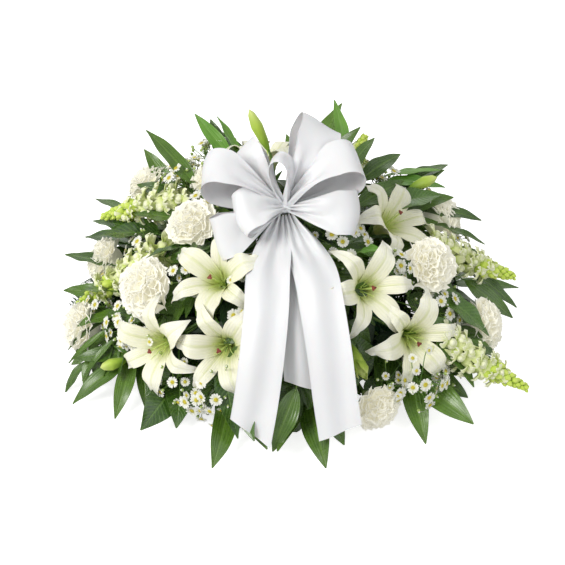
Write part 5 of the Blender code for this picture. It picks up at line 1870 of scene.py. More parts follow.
@dataclass(frozen=True)
class Accents:
    """The single leaves that stand out of the spray's outline and over its edge."""

    def build(self, growth: Growth) -> None:
        """Makes a piece for each kind of single leaf, each leaf with its stalk to the foam."""
        for kind, slot in (("palm", "palm_green"), ("salal", "salal_green"), ("bright", "stem_green")):
            piece = Piece(growth, "single_" + kind, slot)
            shape = LeafShape(SALAL if kind == "salal" else PALM, 17, 7, 0.0008, 0.20, 0.14)
            for i, plan in enumerate(ACCENTS[kind]):
                rng = random.Random(f"{kind} {i}")
                root, along = Vector(plan.root), heading(*plan.runs)
                across, up = axes(along)
                face = (up + across * rng.uniform(-0.45, 0.45)).normalized()
                piece.add(shape.blade(root, along, face, plan.length, plan.half_width, plan.droop, rng),
                          kind + "_leaf")
                foot = FOOTING.heart(root) + Vector((0, root.y * 0.15, 0.02))
                line = bezier(foot, foot.lerp(root, 0.5) + Vector((0, 0, 0.02)), root - along * 0.03,
                              root + along * 0.004, 9)
                piece.add(tube(line, [0.0016 - 0.00008 * k for k in range(9)], 6), "stem_green")
            piece.build()


# Flowers


@dataclass(frozen=True)
class LilyShape:
    """How a lily is made.

    Args:
        depth: from the foot of its ring to the middle of its face.
        radius: from its axis to a tepal's tip.
        ring: the outer radius of its foot.
        cup: how far up the tepals are joined, as a share.
        inner: half-width of the inner three tepals.
        outer: half-width of the outer three.
        thick: a tepal's thickness.
        rows: sections along a tepal.
        columns: points across it.
    """

    depth: float = 0.050
    radius: float = 0.085
    ring: float = 0.0056
    cup: float = 0.30
    inner: float = 0.0186
    outer: float = 0.0136
    thick: float = 0.0009
    rows: int = 26
    columns: int = 13

    def frame(self, bloom: Bloom) -> Matrix:
        """The lily's own axes: Z along the way it faces, from the foot of its ring."""
        axis = bloom.axis()
        across, up = axes(axis)
        turned = Matrix.Rotation(math.radians(bloom.spin), 4, "Z")
        return placed(across, up, axis, bloom.base(self.depth)) @ turned

    def line(self, t: np.ndarray, outer: bool, curl: float) -> tuple[np.ndarray, np.ndarray]:
        """Distance from the axis and height of a tepal's rib.

        Args:
            t: shares of its length.
            outer: whether it is one of the outer three.
            curl: how much its tip curls back against the usual.

        Returns:
            The distances and the heights.
        """
        radius = self.ring + (self.radius - self.ring) * t**1.30
        height = 0.058 * np.sin(np.minimum(1.0, t / 0.72) * math.pi / 2)
        back = np.maximum(0.0, t - 0.60) / 0.40
        height = height - (0.030 if outer else 0.022) * curl * back**1.5
        return radius - 0.006 * curl * back**3, height

    def tepal(self, number: int, rng: random.Random) -> Patch:
        """One of the six tepals, in the lily's own axes.

        Args:
            number: 0 to 5, the odd ones being the outer three.
            rng: draws its curl, twist and waves.

        Returns:
            The tepal.
        """
        outer = bool(number % 2)
        angle = math.tau * number / 6 + rng.uniform(-0.07, 0.07)
        out = np.array((math.cos(angle), math.sin(angle), 0.0))
        across = np.array((-math.sin(angle), math.cos(angle), 0.0))
        curl = rng.uniform(0.95, 1.65)
        t = np.linspace(0.0, 1.0, self.rows) ** 0.92
        radius, height = self.line(t, outer, curl)
        slope = np.gradient(radius, t), np.gradient(height, t)
        length = np.hypot(*slope)
        run = out * (slope[0] / length)[:, None] + np.array((0, 0, 1.0)) * (slope[1] / length)[:, None]
        normal = np.cross(run, across)
        normal *= np.where(normal @ (np.array((0, 0, 1.0)) - out) < 0, -1.0, 1.0)[:, None]
        share = np.clip((t - self.cup) / (1 - self.cup), 0, 1)
        blade = np.sin(math.pi * (0.32 + 0.68 * share)) ** 1.05
        widest = self.outer if outer else self.inner
        foot = 0.0042 + (widest * 0.864 - 0.0042) * np.clip(t / self.cup, 0, 1) ** 0.8
        wide = np.maximum(np.where(t < self.cup, foot, widest * blade), 0.0004)
        v = np.linspace(-1, 1, self.columns)
        cup = 0.50 * (1 - ramp(t, 0.10, 0.55)) - 0.16 * ramp(t, 0.45, 0.9)
        phases = rng.uniform(0, math.tau), rng.uniform(0, math.tau)
        open_part = ramp(t, 0.30, 0.65) * (1 - 0.6 * ramp(t, 0.85, 1.0))
        wave = np.where(v[None, :] < 0, np.sin(t * 15 + phases[0])[:, None],
                        np.sin(t * 13 + phases[1])[:, None])
        lift = (cup * wide)[:, None] * (v * v)[None, :]
        lift = lift + 0.0022 * open_part[:, None] * wave * (np.abs(v) ** 2.5)[None, :]
        lift = lift - (0.0009 * (1 - ramp(t, 0.6, 0.95)))[:, None] * np.exp(-(v / 0.14) ** 2)[None, :]
        lift = lift - (0.0014 if outer else 0.0) * (1 - ramp(t, 0.5, 0.8))[:, None]
        side = wide[:, None] * v[None, :] * (1 - 0.10 * np.abs(cup))[:, None]
        twist = rng.uniform(-0.35, 0.35) * ramp(t, 0.5, 1.0)
        sway = rng.uniform(-0.006, 0.006) * ramp(t, 0.35, 1.0)
        over = side * np.cos(twist)[:, None] - lift * np.sin(twist)[:, None] + sway[:, None]
        up = side * np.sin(twist)[:, None] + lift * np.cos(twist)[:, None]
        centre = out * radius[:, None] + np.array((0, 0, 1.0)) * height[:, None]
        grid = centre[:, None, :] + across * over[..., None] + normal[:, None, :] * up[..., None]
        return slab(grid, self.thick, rng.random())

    def bloom(self, plan: Bloom, growth: Growth) -> None:
        """Makes the piece of one open lily."""
        rng = random.Random(plan.name)
        piece = Piece(growth, plan.name + "_look", "lily_white", [plan.name])
        place = self.frame(plan)
        for number in (1, 3, 5, 0, 2, 4):
            piece.add(self.tepal(number, rng).moved(place), "lily_petal")
        piece.build()

    def heart(self, plan: Bloom, piece: Piece) -> None:
        """Adds a lily's seat, filaments, style and stigma to its stem's piece."""
        rng = random.Random(plan.name + " heart")
        place = self.frame(plan)
        seat = tube([Vector((0, 0, z)) for z in (-0.009, -0.006, -0.0025, -0.0005)],
                    [0.0021, 0.0034, 0.0050, 0.0052], 12, 0.05, 6)
        piece.add(seat.moved(place), "bud_green")
        for k in range(6):
            a = math.tau * (k + 0.25 + rng.uniform(-0.15, 0.15)) / 6
            out = Vector((math.cos(a), math.sin(a), 0))
            spread = rng.uniform(0.013, 0.020)
            line = bezier(Vector((0, 0, 0.002)) + out * 0.0012, Vector((0, 0, 0.020)) + out * 0.0035,
                          Vector((0, 0, 0.034)) + out * spread * 0.55,
                          Vector((0, 0, rng.uniform(0.041, 0.048))) + out * spread, 8)
            piece.add(tube(line, [0.0010 - 0.00008 * i for i in range(8)], 6, tone=rng.random()).moved(place),
                      "lily_style")
        bend = Vector((rng.uniform(-0.004, 0.004), rng.uniform(-0.004, 0.004), 0))
        top = Vector((0, 0, 0.059)) + bend
        line = bezier(Vector((0, 0, 0)), Vector((0, 0, 0.02)), Vector((0, 0, 0.045)) + bend * 0.4, top, 10)
        radii = [0.0021, 0.0020, 0.0019, 0.0013, 0.0011, 0.0011, 0.0012, 0.0013, 0.0015, 0.0019]
        piece.add(tube(line, radii, 8, 0.06).moved(place), "lily_style")
        cap = tube([top + Vector((0, 0, z)) for z in (-0.0012, 0.0002, 0.0016, 0.0024)],
                   [0.0018, 0.0033, 0.0034, 0.0012], 15, 0.30)
        piece.add(cap.moved(place), "lily_stigma")

    def bud(self, plan: Bud, piece: Piece) -> tuple[Vector, Vector]:
        """Adds a bud to its stem's piece.

        Args:
            plan: the bud.
            piece: what it is added to.

        Returns:
            Where its foot is and the way it points.
        """
        axis = heading(*plan.points)
        foot = Vector(plan.tip) - axis * plan.length
        thick = 0.0108 if plan.opened else 0.0092
        count = 18
        shares = [i / (count - 1) for i in range(count)]
        shape = np.interp(shares, (0.0, 0.06, 0.25, 0.60, 0.88, 1.0), (0.22, 0.42, 0.76, 1.0, 0.60, 0.05))
        rng = random.Random(plan.length)
        piece.add(tube([foot + axis * plan.length * s for s in shares], [thick * w for w in shape], 18,
                       0.10, 3, 0.4), "lily_bud_skin")
        across, up = axes(axis)
        for k in range(3 if plan.opened else 0):
            out = round_about(across, up, math.tau * k / 3)
            shape_of = LeafShape(PALM, 12, 7, 0.0008, -0.25, 0.10)
            for spring, spread, size in ((0.20, 0.16, 0.84), (0.50, 0.55, 0.52)):
                piece.add(shape_of.blade(foot + axis * plan.length * spring + out * thick * 0.72,
                                         (axis + out * spread * 0.5).normalized(), out,
                                         plan.length * size, 0.0085, 28, rng, 0.5),
                          "lily_bud_skin")
        return foot, axis

    def lone_bud(self, plan: Bud, growth: Growth) -> None:
        """Makes the tall bud that stands up behind the bow, on its own stem."""
        piece = Piece(growth, "lily_bud_top", "stem_green")
        foot, axis = self.bud(plan, piece)
        low = FOOTING.heart(foot) + Vector((0, 0.03, 0.02))
        line = bezier(low, low.lerp(foot, 0.5), foot - axis * 0.04, foot + axis * 0.002, 12)
        piece.add(tube(line, [0.0026 - 0.00006 * k for k in range(12)], 8), "stem_green")
        piece.build()

    def stem(self, plan: LilyStem, growth: Growth) -> None:
        """Makes the piece of a lily stem: forks, hearts, bud and a few bright leaves."""
        piece = Piece(growth, plan.name + "_look", "stem_green", [plan.name])
        blooms = {bloom.name: bloom for bloom in LILIES}
        fork = Vector(plan.fork)
        run = (fork - FOOTING.heart(fork)).normalized()
        lines = [(FOOTING.line(fork, run), (0.0032, 0.0028))]
        ends = []
        for name in plan.blooms:
            self.heart(blooms[name], piece)
            ends.append((blooms[name].base(self.depth) - blooms[name].axis() * 0.006, blooms[name].axis()))
        foot, axis = self.bud(plan.bud, piece)
        ends.append((foot + axis * 0.002, axis))
        rng = random.Random(plan.name)
        shape = LeafShape(PALM, 16, 7, 0.0007, 0.18, 0.06)
        for end, way in ends:
            pull = 0.38 * (end - fork).length
            line = bezier(fork - run * 0.002, fork + run * pull, end - way * pull, end, 14)
            lines.append((line, (0.0024, 0.0019)))
            at, ahead = along_line(line, 0.72)
            across, up = axes(ahead)
            for k in range(3):
                out = round_about(across, up, rng.uniform(0, math.tau) + k * 2.1)
                length, wide = rng.uniform(0.036, 0.055), rng.uniform(0.005, 0.007)
                piece.add(shape.blade(at + ahead * 0.008 * k, (ahead * 1.5 + out).normalized(),
                                      out * -1 + ahead, length, wide, 30, rng), "bright_leaf")
        piece.stems(lines, "stem_green", 8, 0.8)
        piece.build()


@dataclass(frozen=True)
class CarnationShape:
    """How a carnation is made.

    Args:
        petals: petals in a head.
        fan: how far a petal fans out to each side, in radians.
        frill: how deep its rim waves, as a share of its length.
        pink: how deep its rim is notched, as a share of its length.
        core: the radius of the tight middle.
        thick: a petal's thickness.
    """

    petals: int = 46
    fan: float = 0.80
    frill: float = 0.085
    pink: float = 0.032
    core: float = 0.0255
    thick: float = 0.00045

    def petal(self, rng: random.Random) -> Patch:
        """One petal of length 1 along X, with a narrow claw and a frilled, notched rim."""
        t = np.array((0.0, 0.30, 0.55, 0.74, 0.89, 1.0))[:, None]
        v = np.linspace(-1, 1, 11)[None, :]
        notch = np.where(np.arange(11) % 2 == 0, 1.0, -1.0)[None, :] * self.pink * ramp(t, 0.90, 1.0)
        reach = t * (1 + notch + 0.05 * np.sin(v * 3 + rng.uniform(0, 6)) * t)
        angle = v * self.fan * ramp(t, 0.05, 0.95)
        waves, phase = rng.uniform(2.4, 3.8), rng.uniform(0, math.tau)
        ruffle = self.frill * t**2.4 * np.sin(v * waves * 2.2 + phase)
        ruffle = ruffle + 0.035 * t**3 * np.sin(v * 13 + phase * 2)
        grid = np.stack([reach * np.cos(angle), reach * np.sin(angle) + 0.03 * v,
                         ruffle + rng.uniform(-0.06, 0.14) * t * t - 0.08 * v * v * t], -1)
        return slab(grid, self.thick / 0.04)

    def head(self, growth: Growth, seed: int) -> Patch:
        """A whole head, its axis along Z and its face's middle at the origin."""
        rng = random.Random(seed)
        turns = [math.pi * k / 8 for k in range(1, 8)]
        core = tube([Vector((0, 0, -0.017 - self.core * math.cos(a) * 0.95)) for a in turns],
                    [self.core * math.sin(a) for a in turns], 16, 0.10, 5)
        petals = growth.whorl([self.petal(rng) for _ in range(7)], "carnation_petal", count=self.petals,
                            turn=GOLDEN_ANGLE, first_size=0.034, last_size=0.0385,
                            first_lean=math.radians(88), last_lean=math.radians(10),
                            first_reach=0.0005, last_reach=0.0030, first_height=-0.015,
                            last_height=-0.019, power=0.80, jitter=0.13, seed=seed)
        return joined([petals, core])

    def build(self, growth: Growth) -> None:
        """Makes a piece for each carnation, with its calyx, stem and two slim leaves."""
        heads = [self.head(growth, seed) for seed in (5, 17, 29, 41)]
        leaf = LeafShape(PALM, 12, 5, 0.0007, 0.5, 0.0)
        for i, plan in enumerate(CARNATIONS):
            rng = random.Random(plan.name)
            piece = Piece(growth, plan.name + "_look", "carnation_cream", [plan.name])
            axis = plan.axis()
            place = placed(*axes(axis), axis, Vector(plan.at)) @ spun(rng, plan.size)
            piece.add(heads[i % len(heads)].moved(place), "carnation_petal")
            calyx = tube([plan.base(d) for d in (0.053, 0.050, 0.040, 0.026, 0.016)],
                         [0.0030, 0.0052, 0.0064, 0.0074, 0.0086], 15, 0.06, 5, 0.7)
            piece.add(calyx, "bud_green")
            line = smooth_line(FOOTING.path(plan.base(0.052), axis, 4), 4)
            piece.stems([(line, (0.0024, 0.0022))])
            for k in range(2):
                at, run = along_line(line, 0.72 - 0.14 * k)
                out = round_about(*axes(run), 2.6 * k)
                piece.add(leaf.blade(at, (run * 1.4 + out).normalized(), run - out, 0.055, 0.0028, 40, rng),
                          "bright_leaf")
            piece.build()


@dataclass(frozen=True)
class SnapdragonShape:
    """How a snapdragon is made.

    Args:
        florets: open florets on a spike.
        buds: green buds to its tip.
        largest: the length of the lowest floret.
    """

    florets: int = 26
    buds: int = 40
    largest: float = 0.0330

    def lobe(self, root: Vector, tip: Vector, up: Vector, wide: float, rng: random.Random) -> Patch:
        """One ruffled lobe of a floret's mouth."""
        run = tip - root
        across = run.cross(up).normalized()
        t = np.array((0.0, 0.4, 0.75, 1.0))[:, None]
        v = np.linspace(-1, 1, 5)[None, :]
        round_end = np.array((0.75, 1.0, 0.95, 0.55))[:, None]
        phase = rng.uniform(0, math.tau)
        curl = 0.10 * t * t * np.sin(v * 3.0 + phase) - 0.22 * t * t
        over = wide * round_end * v
        grid = (np.array(root) + np.array(run) * t[..., None] + np.array(across) * over[..., None]
                + np.array(up) * (curl - 0.05 * v * v)[..., None])
        return slab(grid, 0.03, rng.random())

    def floret(self, rng: random.Random) -> Patch:
        """An open floret of length about 1 along X: a pouched tube, two lips and a palate."""
        x, z = Vector((1, 0, 0)), Vector((0, 0, 1))
        body = tube([x * s + z * (0.04 * s) for s in (0.0, 0.10, 0.25, 0.42, 0.56, 0.66)],
                    [0.07, 0.13, 0.19, 0.22, 0.26, 0.20], 10, 0.08, 2)
        palate = tube([Vector((s, 0, -0.04)) for s in (0.42, 0.56, 0.70, 0.78)], [0.10, 0.20, 0.17, 0.05], 8)
        parts = [body, palate]
        for side in (-1, 1):
            parts.append(self.lobe(Vector((0.48, 0.08 * side, 0.16)), Vector((0.80, 0.30 * side, 0.58)),
                                   Vector((0.8, 0, -0.6)), 0.22, rng))
        for side in (-1, 0, 1):
            parts.append(self.lobe(Vector((0.50, 0.10 * side, -0.14)),
                                   Vector((0.90, 0.38 * side, -0.40 + 0.08 * abs(side))),
                                   Vector((0.5, 0, 0.85)), 0.20, rng))
        return joined(parts)

    def bud(self, rng: random.Random) -> Patch:
        """A round closed bud of length 1 along X."""
        bend = rng.uniform(-0.1, 0.2)
        return tube([Vector((s, 0, bend * s * s)) for s in (0.0, 0.12, 0.38, 0.66, 0.88, 1.0)],
                    [0.10, 0.22, 0.34, 0.34, 0.20, 0.03], 8, 0.06, 2)

    @staticmethod
    def calyx(rng: random.Random) -> Patch:
        """Five small sepals at the foot of a floret or a bud, on its short stalk."""
        parts = [tube([Vector((-0.30, 0, -0.05)), Vector((-0.1, 0, 0)), Vector((0.10, 0, 0))],
                      [0.05, 0.07, 0.13], 5)]
        for k in range(5):
            a = math.tau * k / 5
            out = Vector((0, math.cos(a), math.sin(a)))
            side = Vector((0, -math.sin(a), math.cos(a)))
            rows = []
            for s, w in ((0.02, 0.07), (0.16, 0.09), (0.34 + rng.uniform(0, 0.05), 0.01)):
                at = Vector((s, 0, 0)) + out * (0.09 + 0.55 * s)
                rows.append([tuple(at - side * w), tuple(at + side * w)])
            parts.append(slab(np.array(rows), 0.02))
        return joined(parts)

    def build(self, growth: Growth) -> None:
        """Makes a piece for each spike."""
        rng = random.Random(3)
        florets = [self.floret(rng) for _ in range(4)]
        buds = [self.bud(rng) for _ in range(3)]
        calyces = [self.calyx(rng) for _ in range(2)]
        for plan in SPIKES:
            low, tip = Vector(plan.low), Vector(plan.tip)
            run = (tip - low).normalized()
            length = (tip - low).length
            place = placed(*axes(run), run, low)
            piece = Piece(growth, plan.name + "_look", "snapdragon_lime", [plan.name])
            whorls = (
                (self.florets, -0.016, 0.66 * length, self.largest, self.largest * 0.70, 0.30, 0.58,
                 plan.seed, florets, "snapdragon_petal", 1.0),
                (self.buds, 0.50 * length, 0.985 * length, 0.0185, 0.0080, 0.55, 1.15,
                 plan.seed + 50, buds, "snapdragon_bud", 0.9),
            )
            for count, first, last, big, small, lean, end_lean, seed, shapes, finish, calyx in whorls:
                shared = {"count": count, "turn": GOLDEN_ANGLE, "first_lean": lean, "last_lean": end_lean,
                          "first_reach": 0.0042, "last_reach": 0.0016, "first_height": first,
                          "last_height": last, "jitter": 0.14, "seed": seed}
                sets = ((shapes, finish, big, small),
                        (calyces, "bud_green", big * calyx * 0.62, small * calyx * 0.8))
                for parts, dress_in, start, end in sets:
                    whorl = growth.whorl(parts, dress_in, first_size=start, last_size=end, **shared)
                    piece.add(whorl.moved(place), dress_in)
            lines = [(FOOTING.line(low, run), (0.0028, 0.0026)),
                     ([low - run * 0.002, low.lerp(tip, 0.5), tip], (0.0026, 0.0018, 0.0010))]
            piece.stems(lines, "bud_green", 7)
            piece.build()


@dataclass(frozen=True)
class AsterShape:
    """How a spray of small asters is made.

    Args:
        rays: rays round a head.
        disc: radius of the disc as a share of the head's.
        extra: further small heads and buds for each head that the solid has.
        bud: a bud's radius.
    """

    rays: int = 14
    disc: float = 0.36
    extra: float = 3.6
    bud: float = 0.0026

    def ray(self, rng: random.Random) -> Patch:
        """One ray of length 1 along X, with a rounded, notched end."""
        t = np.array((0.28, 0.78, 1.0))[:, None]
        v = np.array((-1.0, 0.0, 1.0))[None, :]
        wide = np.array((0.08, 0.175, 0.09))[:, None] * rng.uniform(0.9, 1.15)
        grid = np.stack([t - 0.03 * (v == 0) * (t > 0.95) + 0 * v, wide * v,
                         0.05 * v * v * wide / 0.1 + rng.uniform(-0.10, 0.10) * t * t], -1)
        return slab(grid, 0.035)

    def head(self, growth: Growth, seed: int) -> list[tuple[Patch, str]]:
        """A head of radius 1 facing Z: rays, a rounded disc and the green cup behind."""
        rng = random.Random(seed)
        rays = growth.whorl([self.ray(rng) for _ in range(4)], "aster_ray", count=self.rays,
                            turn=math.tau / self.rays, first_size=1.0, last_size=1.0, first_lean=0.08,
                            last_lean=0.08, jitter=0.09, seed=seed)
        z = Vector((0, 0, 1))
        disc = tube([z * h for h in (-0.04, 0.05, 0.14, 0.20, 0.22)],
                    [self.disc * r for r in (0.9, 1.0, 0.90, 0.60, 0.15)], 10)
        cup = tube([z * h for h in (-0.34, -0.30, -0.16, -0.02)], [0.06, 0.20, 0.30, 0.36], 8)
        return [(rays, "aster_ray"), (disc, "aster_disc"), (cup, "bud_green")]

    def heads(self, plan: Spray) -> list[tuple[Vector, Vector, float, bool]]:
        """Where each head sits, which way it faces, its radius, and whether it is open.

        Args:
            plan: the spray.

        Returns:
            The solid's own heads first, then the further small ones between them.
        """
        rng = random.Random(plan.seed)
        axis = heading(*plan.faces)
        across, up = axes(axis)
        found = []
        total = plan.heads + 1
        for i in range(total):
            a = i * GOLDEN_ANGLE + rng.uniform(-0.3, 0.3)
            far = plan.width * 0.62 * math.sqrt((i + 0.5) / total)
            out = round_about(across, up, a)
            at = Vector(plan.at) + out * far - axis * (far * far / plan.width * 0.55 + rng.uniform(0, 0.008))
            faces = (axis + out * (far / plan.width) * 0.9).normalized()
            radius = rng.uniform(0.0085, 0.0105)
            found.append((at, faces, radius if i < plan.heads else self.bud, i < plan.heads))
        for i in range(round(self.extra * plan.heads)):
            a = rng.uniform(0, math.tau)
            far = plan.width * rng.uniform(0.15, 1.20)
            out = round_about(across, up, a)
            at = Vector(plan.at) + out * far - axis * (0.004 + far * 0.35 + rng.uniform(0, 0.012))
            faces = (axis + out * rng.uniform(0.2, 1.1)).normalized()
            opened = i % 2 == 0
            found.append((at, faces, rng.uniform(0.0060, 0.0090) if opened else self.bud, opened))
        return found

    def build(self, growth: Growth) -> None:
        """Makes a piece for each spray."""
        kinds = [self.head(growth, seed) for seed in (2, 9, 31)]
        z = Vector((0, 0, 1))
        bud = [(tube([z * h for h in (0.0, 0.5, 1.2, 1.9)], [0.35, 0.95, 1.0, 0.55], 7), "bud_green"),
               (tube([z * h for h in (1.5, 2.1, 2.6)], [0.60, 0.55, 0.15], 7), "aster_ray")]
        for plan in SPRAYS + SMALL_SPRAYS:
            piece = Piece(growth, plan.name + "_look", "aster_white", [plan.name] if plan in SPRAYS else [])
            rng = random.Random(plan.seed + 1)
            axis = heading(*plan.faces)
            fork = Vector(plan.at) - axis * (0.45 * plan.width + 0.028)
            run = ((fork - FOOTING.heart(fork)).normalized() + axis * 0.5).normalized()
            lines = [(FOOTING.line(fork + run * 0.019, run), (0.0020, 0.0013))]
            found = self.heads(plan)
            for i, (at, faces, radius, opened) in enumerate(found):
                place = placed(*axes(faces), faces, at) @ spun(rng, radius)
                for patch, finish in kinds[i % 3] if opened else bud:
                    piece.add(patch.moved(place), finish)
                foot = fork + run * (0.026 * i / len(found) - 0.009)
                end = at - faces * (0.3 * radius if opened else 0.0)
                line = bezier(foot, foot.lerp(end, 0.4) + run * 0.004, end - faces * 0.010, end, 7)
                lines.append((line, (0.0009, 0.0006)))
            piece.stems(lines, "stem_green", 5, 0.7)
            piece.build()


# The bow


@dataclass(frozen=True)
class Bow:
    """The ribbon: loops gathered at a knot, and three tails.

    Args:
        knot: the middle of the knot.
        rise: the angle above the level that the bow faces.
        width: the ribbon's width.
        thick: its thickness.
        pinch: half of its width where it is gathered.
        pleats: folds across it where it is gathered.
        fold: how high the soft folds along a tail stand.
        band: the radius of the knot's wrapping and half of its width.
    """

    knot: Place = (0.003, -0.030, 0.268)
    rise: float = 52.0
    width: float = 0.064
    thick: float = 0.0006
    pinch: float = 0.0045
    pleats: float = 3.0
    fold: float = 0.0026
    band: Aim = (0.0105, 0.0085)

    def axes(self) -> tuple[Vector, Vector, Vector]:
        """The bow's own right, up and facing directions."""
        facing = heading(0, self.rise)
        right = Vector((1, 0, 0))
        return right, facing.cross(right), facing

    def way(self, plan: Loop) -> Vector:
        """The direction from the knot in which a loop runs."""
        right, up, facing = self.axes()
        return round_about(round_about(right, up, math.radians(plan.angle)), facing, math.radians(plan.lift))

    def ribbon(self, piece: Piece, grid: np.ndarray, weave: Aim, flat: Aim, held: str, rests_on: str) -> None:
        """Makes one stretch of ribbon.

        Args:
            piece: the empty piece that it becomes.
            grid: its middle surface.
            weave: how often the weave repeats across and along it.
            flat: its flat width and length; not used.
            held: how it is held; not used.
            rests_on: what it rests on; not used.
        """
        patch = slab(grid, self.thick)
        patch.uv = patch.uv * np.array(weave)
        piece.add(patch, "ribbon_satin")
        piece.build()

    def pleated(self, centre: np.ndarray, across: np.ndarray, normal: np.ndarray, half: np.ndarray,
                gather: np.ndarray, phase: float, belly: np.ndarray) -> np.ndarray:
        """The grid of a ribbon whose width is taken up in pleats where it is gathered.

        Args:
            centre: its middle line.
            across: its sideways direction at each row.
            normal: its facing direction at each row.
            half: its half-width at each row.
            gather: how gathered it is at each row, from 0 to 1.
            phase: where its pleats start.
            belly: how far its middle stands out at each row.

        Returns:
            Rows by columns by 3.
        """
        v = np.linspace(-1, 1, 29)
        fold = np.sin(v[None, :] * math.pi * self.pleats + phase) * (0.0048 * gather**1.3)[:, None]
        crease = np.sin(v[None, :] * 5.1 + phase * 1.7) * (0.0060 * np.sqrt(gather * (1 - gather)))[:, None]
        bow = belly[:, None] * (1 - v * v)[None, :]
        lift = fold + crease + bow
        return (centre[:, None, :] + across[:, None, :] * (half[:, None] * v[None, :])[..., None]
                + normal[:, None, :] * lift[..., None])

    def loop(self, plan: Loop, number: int, growth: Growth) -> None:
        """Makes one loop of the bow, from the knot out and back."""
        rng = random.Random(number)
        out, facing = self.way(plan), self.axes()[2]
        side = Matrix.Rotation(math.radians(plan.tilt), 3, out) @ facing.cross(out).normalized()
        rise = out.cross(side)
        s = 0.02 + 0.96 * np.linspace(0, 1, 49)
        o, r, d = np.array(out), np.array(rise), np.array(side)
        run = plan.length * np.sin(math.pi * s)
        swell = plan.fullness * np.sin(2 * math.pi * s) * (1 + 0.10 * np.sin(math.pi * s))
        centre = np.array(self.knot) + np.outer(run, o) + np.outer(swell, r)
        ahead = np.gradient(centre, axis=0)
        ahead /= np.linalg.norm(ahead, axis=1, keepdims=True)
        across = np.tile(d, (len(s), 1))
        normal = np.cross(across, ahead)
        open_share = np.minimum(1.0, np.sin(math.pi * s) / 0.80)
        half = self.pinch + (plan.width / 2 - self.pinch) * open_share**1.2
        gather = 1 - ramp(open_share, 0.05, 0.95)
        belly = 0.004 * np.sin(2 * math.pi * s + rng.uniform(-0.6, 0.6)) * open_share
        grid = self.pleated(centre, across, normal, half, gather, rng.uniform(0, 6), belly)
        dent = rng.uniform(-0.3, 0.3)
        v = np.linspace(-1, 1, grid.shape[1])
        soft = 0.0035 * np.outer(np.sin(s * 9 + number), np.sin(v * 2.0 + dent * 6)) * open_share[:, None]
        grid = grid + normal[:, None, :] * soft[..., None]
        length = measured(centre)
        piece = Piece(growth, f"bow_loop_{number + 1}", "satin_white", [] if number else ["bow_loops"])
        self.ribbon(piece, grid, (1.0, length / plan.width), (plan.width, length), "gathered", "bow_pick")

    def knot_wrap(self, growth: Growth) -> None:
        """Makes the short band that is pulled round the middle of the bow."""
        right, up, facing = self.axes()
        rows, columns = 41, 15
        a = np.linspace(0, math.tau * 0.985, rows)
        v = np.linspace(-1, 1, columns)
        ring = self.band[0] + 0.0012 * np.sin(3 * a)
        r, u, f = (np.array(d) for d in (right, up, facing))
        fold = 0.0011 * np.cos(v * math.pi * 3.0)
        reach = ring[:, None] + fold[None, :] - 0.0022 * (v * v)[None, :]
        grid = (np.array(self.knot) + (np.cos(a)[:, None] * reach)[..., None] * r
                + (np.sin(a)[:, None] * reach)[..., None] * f * 0.92 + (v * self.band[1])[None, :, None] * u)
        piece = Piece(growth, "bow_knot", "satin_white")
        self.ribbon(piece, grid, (0.4, 1.1), (0.022, 0.070), "gathered", "bow_pick")

    def tail(self, name: str, growth: Growth) -> None:
        """Makes one tail: pleated at the knot, then flat, cut on the slant."""
        rng = random.Random(name)
        line = smooth_line([Vector(p) for p in TAILS[name]], 10)
        centre = np.array([tuple(p) for p in line])
        count = len(centre)
        t = np.linspace(0, 1, count)
        run = np.gradient(centre, axis=0)
        run /= np.linalg.norm(run, axis=1, keepdims=True)
        across = np.array((1.0, 0, 0)) - run * run[:, :1]
        across /= np.linalg.norm(across, axis=1, keepdims=True)
        normal = np.cross(across, run)
        points = len(TAILS[name]) - 1
        half = np.interp(t * points, (0, 1, 2, points), (0.0052, 0.0265, self.width / 2, self.width / 2))
        half = np.convolve(np.pad(half, 4, "edge"), np.ones(9) / 9, "valid")
        gather = 1 - ramp(t * points, 0.0, 2.4)
        belly = 0.0035 * np.sin(t * 7.5 + rng.uniform(0, 6)) * ramp(t * points, 0.5, 2.5)
        grid = self.pleated(centre, across, normal, half, gather, rng.uniform(0, 6), belly)
        v = np.linspace(-1, 1, grid.shape[1])
        sway = rng.uniform(0, math.tau) + t * rng.uniform(1.0, 2.4)
        folds = self.fold * np.sin(v[None, :] * 4.4 + sway[:, None]) * ramp(t, 0.10, 0.35)[:, None]
        grid = grid + normal[:, None, :] * folds[..., None]
        slant = TAIL_SLANTS[name] * ramp(t, 0.80, 1.0)
        grid = grid + run[:, None, :] * np.outer(slant, v)[..., None]
        length = measured(centre)
        piece = Piece(growth, name + "_look", "satin_white", [name])
        self.ribbon(piece, grid, (1.0, length / self.width), (self.width, length), "hung", "bow_knot")

    def build(self, growth: Growth) -> None:
        """Makes the loops, the knot and the tails."""
        for number, plan in enumerate(LOOPS):
            self.loop(plan, number, growth)
        self.knot_wrap(growth)
        for name in TAILS:
            self.tail(name, growth)


# The stage


